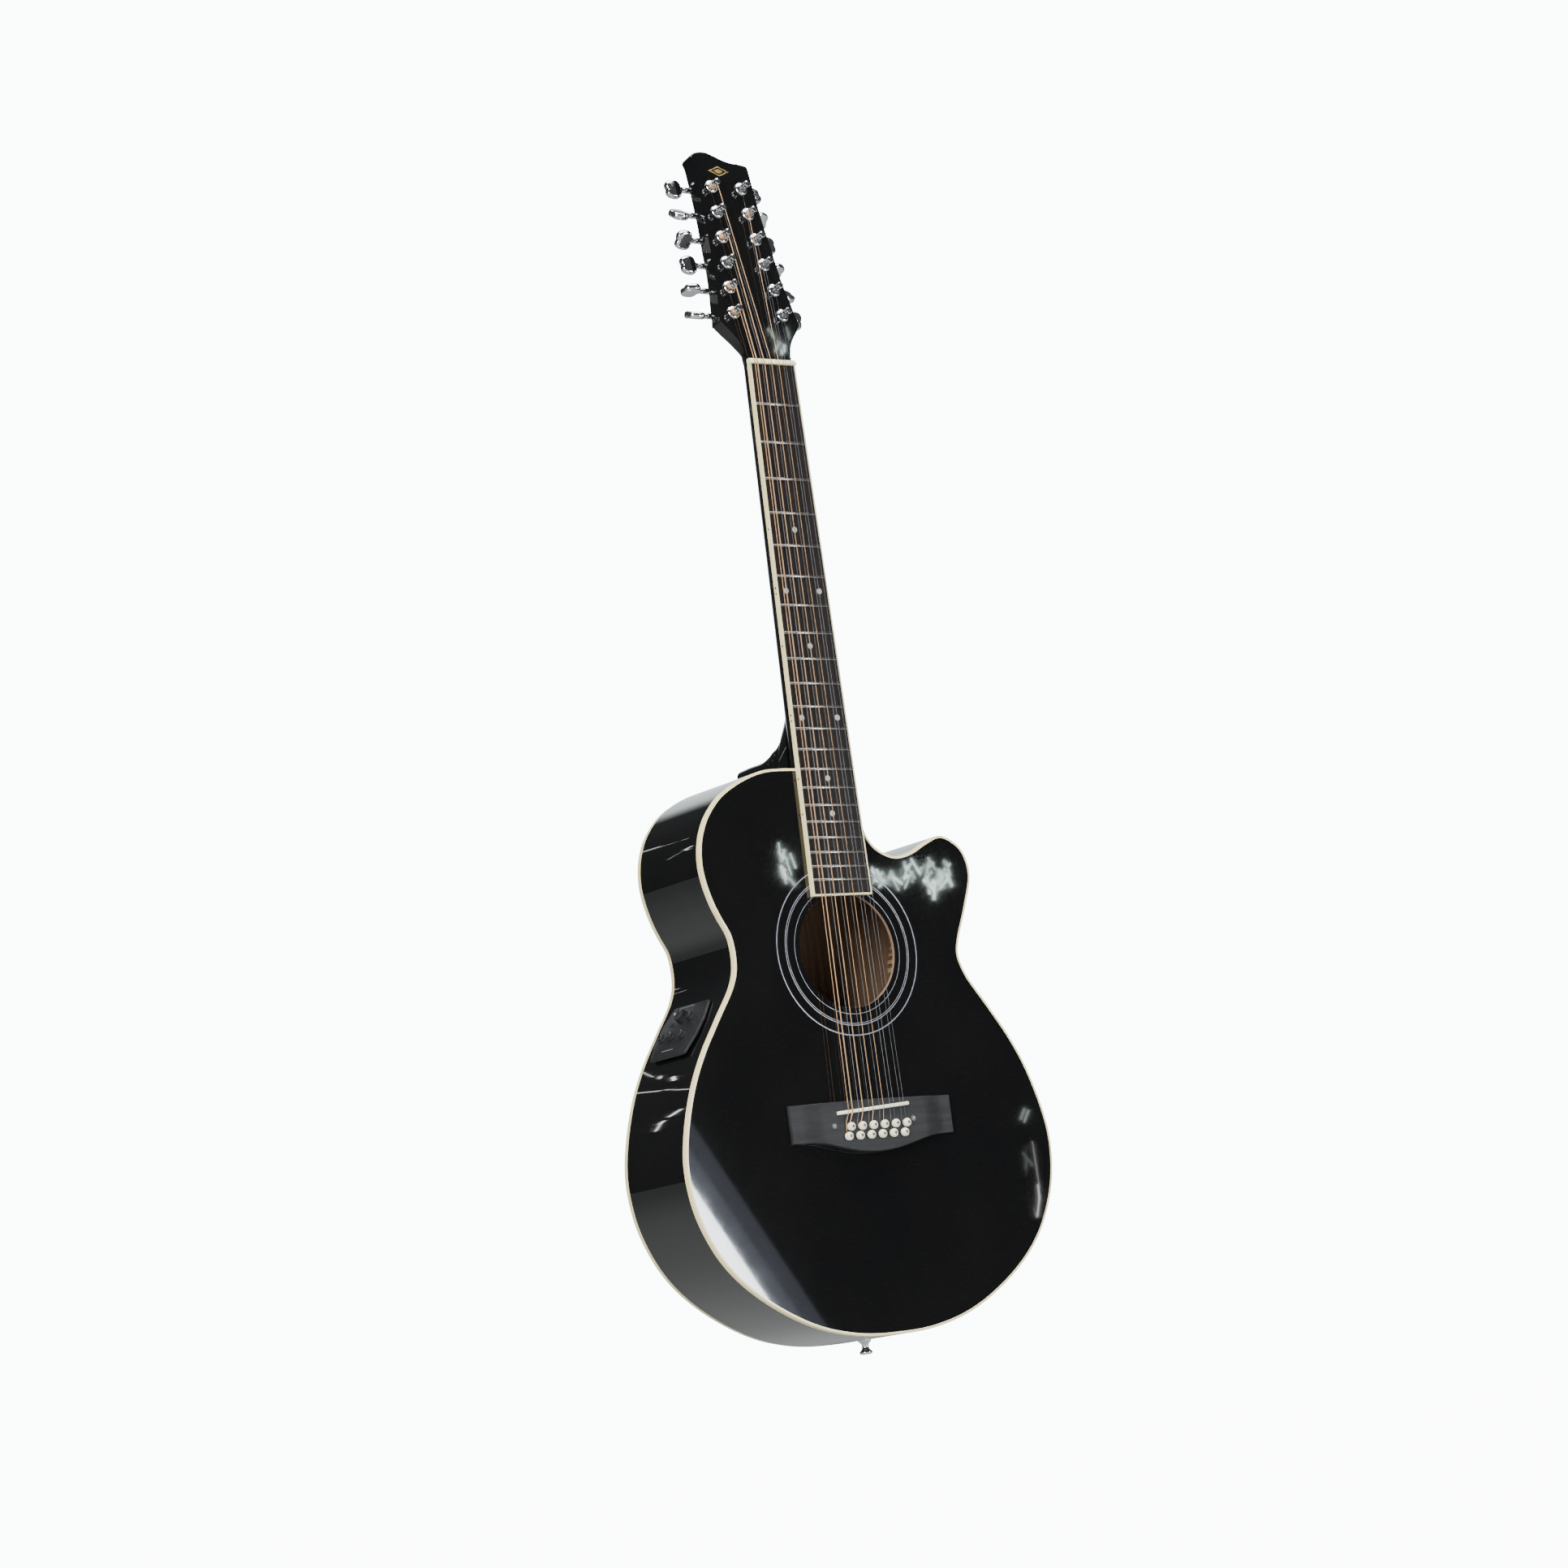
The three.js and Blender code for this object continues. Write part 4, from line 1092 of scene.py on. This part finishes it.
STRINGS = [
    ("string_low_e_octave", 0.69, True), ("string_low_e", 1.19, True),
    ("string_a_octave", 0.46, False), ("string_a", 0.99, True),
    ("string_d_octave", 0.30, False), ("string_d", 0.76, True),
    ("string_g_octave", 0.25, False), ("string_g", 0.58, True),
    ("string_b_first", 0.36, False), ("string_b_second", 0.36, False),
    ("string_high_e_first", 0.25, False), ("string_high_e_second", 0.25, False),
]
SADDLE_PITCH, NUT_PITCH = 11.05, 7.7
SADDLE_PAIR, NUT_PAIR = 4.0, 2.5
WINDING_HEIGHT = 5.3
POST_RADIUS = 3.0
PIN_CLEAR = 3.9


def saddle_z(x):
    (x0, z0), (x1, z1) = SADDLE_ENDS
    return z0 + (x - x0) * (z1 - z0) / (x1 - x0)


def string_route(index, radius):
    course, pair = index // 2, -0.5 if index % 2 == 0 else 0.5
    middle = course - 2.5
    saddle_x = middle * SADDLE_PITCH + pair * SADDLE_PAIR
    nut_x = middle * NUT_PITCH + pair * NUT_PAIR
    resting = BRIDGE_FACE - GAP - radius
    (upper_x, upper_z), (lower_x, lower_z) = PIN_ROWS
    upper_x += PIN_PITCH * course
    lower_x += PIN_PITCH * course
    if pair < 0:
        beside = upper_x - PIN_CLEAR - 0.8
        tail = [(lower_x - 0.4, BRIDGE_FACE + 1.5, lower_z + 2.2),
                (beside, resting, lower_z + PIN_CLEAR + 0.6),
                (beside, resting - 1, upper_z + PIN_CLEAR)]
    else:
        tail = [(upper_x, BRIDGE_FACE + 1.5, upper_z + 2.2),
                (upper_x, resting, upper_z + PIN_CLEAR + 0.3)]
    side, (post_x, post_u) = (-1, POSTS[index]) if index < 6 else (1, POSTS[11 - index])
    tangent = post_x - POST_RADIUS - radius
    at_post = HEAD @ (Vector((side * tangent, post_u, WINDING_HEIGHT)) * MM) / MM
    return [*tail, (saddle_x, SADDLE_CROWN - radius, saddle_z(saddle_x)),
            (nut_x, NUT_CROWN - 0.3 - radius, NUT_Z + 0.8), at_post]


def string_look(is_wound):
    """The material and the slot of a string."""
    return (BRONZE, "bronze_string") if is_wound else (STEEL, "steel_string")


def add_strings():
    for index, (name, diameter, is_wound) in enumerate(STRINGS):
        route = eased(string_route(index, diameter / 2), 1.6)
        part, lengths = tube(route, diameter / 2)
        finished(name, part, *string_look(is_wound), lengths=lengths, sharp=60)


add_strings()

# ---- Tuners ----

SIDES = (("bass", -1), ("treble", 1))
BACK_OF_HEAD = -HEAD_THICKNESS - GAP
PLATE_BACK = BACK_OF_HEAD - 1.5
PLATE_EDGE = 7.2
GEAR_TEETH = 14
BUTTON_TURNS = {"bass": [60, 90, 0, -45, 45, 0], "treble": [20, -35, 75, 0, 50, -15]}
FERRULE = [(3.4, 0.1), (6.0, 0.1), (6.0, 0.9), (5.6, 1.5), (4.6, 2.1), (3.4, 2.2), (3.4, 0.1)]
BUSH = [(3.4, PLATE_BACK), (4.6, PLATE_BACK), (4.6, 0.3), (3.4, 0.3), (3.4, PLATE_BACK)]
SCREW = [(0, -0.2), (2.2, -0.2), (2.2, 0.1), (1.8, 0.7), (1.0, 1.0), (0, 1.1)]
POST = [
    (0, -22.3), (2.0, -22.3), (3.0, -22.0), (3.0, 7.4), (2.75, 7.9), (2.75, 9.4), (3.0, 9.9),
    (3.0, 10.7), (2.6, 11.3), (1.2, 11.5), (0, 11.5),
]


def tuner_plate(side):
    ends = [(POSTS[0][0], 38), *POSTS[1:-1], (POSTS[-1][0], 183)]
    outer = [Vector((side * (x + PLATE_EDGE), u)) for x, u in ends]
    inner = [Vector((side * (x - PLATE_EDGE), u)) for x, u in reversed(ends)]
    edge = outer + inner if side > 0 else (outer + inner)[::-1]
    section = [(0.5, PLATE_BACK), (0.1, PLATE_BACK + 0.2), (0, PLATE_BACK + 0.5),
               (0, BACK_OF_HEAD)]
    parts = [stacked(edge, section)]
    for x, u in POSTS:
        parts += [moved(turned(shape), side * x, u) for shape in (FERRULE, BUSH)]
        for end in (-1, 1):
            middle = side * x + end * 5.6
            parts.append(block(middle - 0.7, middle + 0.7, u + 3.2, u + 8.8, PLATE_BACK - 6,
                               PLATE_BACK + 0.3))
    screw = placed(turned(SCREW, 24), Matrix.Rotation(pi, 4, "X"))
    for (x0, u0), (x1, u1) in zip(POSTS, POSTS[1:]):
        parts.append(moved(screw, side * (x0 + x1) / 2, (u0 + u1) / 2 + 2, PLATE_BACK))
    return joined(*parts)


def gear():
    """A worm wheel with rounded teeth, on the lower end of the post."""
    return loft([
        polar_ring(GEAR_TEETH * 8, height,
                   lambda angle: (3.72 + 0.28 * cos(GEAR_TEETH * angle)) * scale)
        for height, scale in ((-22.3, 0.92), (-21.9, 1), (-18.1, 1), (-17.7, 0.92))
    ])


def coil(radius, side):
    """Turns of string round the post, ending where the string runs off it."""
    turns = max(2, min(5, int(3.2 / (2 * radius))))
    reach = POST_RADIUS + radius
    steps = turns * 20
    route = []
    for turn in (turns * i / steps for i in range(steps + 1)):
        angle = pi * (side > 0) + side * 2 * pi * turn
        drop = 2 * radius * 1.03 * turn
        route.append((reach * cos(angle), reach * sin(angle), WINDING_HEIGHT - drop))
    return tube(route, radius, 10)


def worm():
    """A threaded shaft along local y."""
    steps = 70
    heights = [9.2 * i / steps - 4.6 for i in range(steps + 1)]
    return upright(loft([
        polar_ring(24, h, lambda angle: 1.4 + 0.3 * cos(angle - 2 * pi * h / 1.9))
        for h in heights
    ]))


KEY_ENDS = [[(0, -7), (1.1, -7), (1.3, -6.8), (1.3, -4.4), (0, -4.4)],
            [(0, 4.4), (1.3, 4.4), (1.3, 7), (2.2, 7.4), (2.8, 8), (2.8, 15.4), (2.4, 16),
             (2.2, 17), (2.7, 17.6), (2.9, 18.4), (2.9, 20.6), (2.0, 21), (0, 21)]]
BUTTON_EDGE = [
    (0, 18.9), (2.8, 19.1), (5.8, 19.7), (8.1, 21.8), (8.9, 25), (8.7, 28.6), (7.5, 32.2),
    (5.2, 34.4), (2.6, 34.7), (0, 34.0),
]


def key_part():
    spin = Matrix.Rotation(-pi / 2, 4, "X")
    parts = [placed(turned(profile, 32), spin) for profile in KEY_ENDS]
    right = catmull(BUTTON_EDGE, 0.8)
    edge = right + vectors(mirrored(right[1:-1]))
    half = [(0.2, 1.9), (0.9, 2.8), (1.8, 3.2), (2.6, 3.3)]
    section = [(distance, -height) for distance, height in reversed(half)] + [(0, 0)] + half
    return joined(worm(), stacked(edge, section), *parts)


KEY = key_part()


def add_tuner(name, side, i):
    """Post i of one side of the headstock, with its wheel and its coil of string, and its key."""
    x, u = POSTS[i - 1]
    post_frame = spot_on(HEAD, side * x, u)
    body = f"post_{name}_{i}"
    finished(body, placed(joined(turned(POST), gear()), post_frame), CHROME, "chrome", body)
    _, diameter, is_wound = STRINGS[i - 1 if side < 0 else 12 - i]
    material, slot = string_look(is_wound)
    turns, lengths = coil(diameter / 2, side)
    piece(f"coil_{name}_{i}", placed(turns, post_frame), material, body=body, slot=slot,
          lengths=lengths)
    body = f"key_{name}_{i}"
    key_frame = spot_on(HEAD, side * x, u + WORM_OFFSET, -WORM_DROP)
    key_frame @= Matrix.Rotation(-side * pi / 2, 4, "Z")
    key_frame @= Matrix.Rotation(radians(BUTTON_TURNS[name][i - 1]), 4, "Y")
    finished(body, placed(KEY, key_frame), CHROME, "chrome", body)


def add_tuners():
    for name, side in SIDES:
        plate = placed(tuner_plate(side), HEAD)
        finished(f"tuner_plate_{name}", plate, CHROME, "chrome", sharp=30)
        for i in range(1, len(POSTS) + 1):
            add_tuner(name, side, i)


add_tuners()

# ---- Preamp ----

HALF_PANEL = [
    (9, -31), (24, -27.2), (26.6, -26.2), (27.5, -24), (27.5, 24), (26.6, 26.4), (24, 27.4), (9, 32),
]
KNOBS = [
    ("volume_knob", (13.7, 4.1), 6.2, 5.0), ("presence_knob", (12, -9.9), 3.8, 3.6),
    ("bass_knob", (-5.9, 21.1), 3.8, 3.6), ("middle_knob", (-5.3, 7.6), 3.8, 3.6),
    ("treble_knob", (-6.5, -10), 3.8, 3.6),
]
PANEL_FACE = 2.6


def knob_part(radius, height):
    """A tapered knob with fine grips round its side and a dished top."""
    grips = 24 if radius > 5 else 18
    rows = ((0, 1, 0), (0.5, 1, 0), (0.7, 0.97, 0.25), (height - 0.5, 0.90, 0.25),
            (height - 0.2, 0.88, 0), (height, 0.82, 0), (height - 0.25, 0.7, 0))
    return loft([
        polar_ring(grips * 6, h,
                   lambda angle: radius * scale - depth * (0.5 - 0.5 * cos(grips * angle)))
        for h, scale, depth in rows
    ])


def add_preamp():
    section = [(0, 0.6), (0, 1.9), (0.25, 2.35), (0.7, PANEL_FACE)]
    face = stacked(vectors(HALF_PANEL + mirrored(HALF_PANEL)), section)
    box = block(-23.5, 23.5, -23, 23, -28, 1)
    panel = placed(joined(face, box), PANEL)
    piece("preamp_finished", panel, PANEL_BLACK, ["preamp_housing"], "black_plastic")
    for name, (x, y), radius, height in KNOBS:
        at = spot_on(PANEL, x, y, PANEL_FACE + GAP)
        finished(name, placed(knob_part(radius, height), at), KNOB_BLACK, "knob_rubber", name)
        mark = block(radius * 0.35, radius * 0.8, -0.25, 0.25, height - 0.35, height + 0.02, 0.05)
        piece(f"{name}_mark", placed(mark, at), PRINT, slot="black_plastic", body=name)
    bars = [block(24.7, 25.5, -5.5, 15.5, 2.3, 2.66, 0.05),
            block(-20.0, -19.2, -4, 13.5, 2.3, 2.66, 0.05)]
    lamp = turned([(0, 2.2), (1.5, 2.2), (1.5, 2.9), (1.2, 3.4), (0.6, 3.7), (0, 3.8)], 32)
    button = disc(2.2, 2.2, 3.1)
    for name, part, (x, y), material in (("panel_bars", joined(*bars), (0, 0), PRINT),
                                         ("panel_lamp", lamp, (20.2, 20.5), LAMP),
                                         ("panel_button", button, (9.0, 18.5), KNOB_BLACK)):
        piece(name, placed(part, spot_on(PANEL, x, y)), material, slot="black_plastic")


add_preamp()

# ---- Strap button, jack and the CAD pieces that stay ----

STRAP_BUTTON = [
    (0, 0), (3.9, 0), (4.9, 0.3), (5.6, 1.0), (5.8, 1.8), (5.4, 2.8), (4.2, 3.9), (3.3, 5.0),
    (3.05, 6.6), (3.3, 8.6), (4.2, 9.9), (5.4, 10.9), (5.8, 11.6), (5.8, 12.2), (2, 12.2),
    (2, 33), (0, 36),
]
JACK_RING = [(3.5, 2.6), (3.5, -24), (5.7, -24), (5.7, 0.6), (11, 0.6), (11, 1.5), (10.6, 2.0),
             (9.4, 2.5), (8.6, 2.6), (3.5, 2.6)]


def add_fittings():
    finished("strap_button", turned(STRAP_BUTTON, 64), CHROME, "chrome", sharp=40)
    finished("output_jack", placed(turned(JACK_RING, 64), JACK), CHROME, "chrome", sharp=30)
    for node in ("x_brace", "neck_block", "tail_block"):
        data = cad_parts[node].data
        data.materials.clear()
        data.materials.append(SHADED_BRACE_WOOD)


add_fittings()
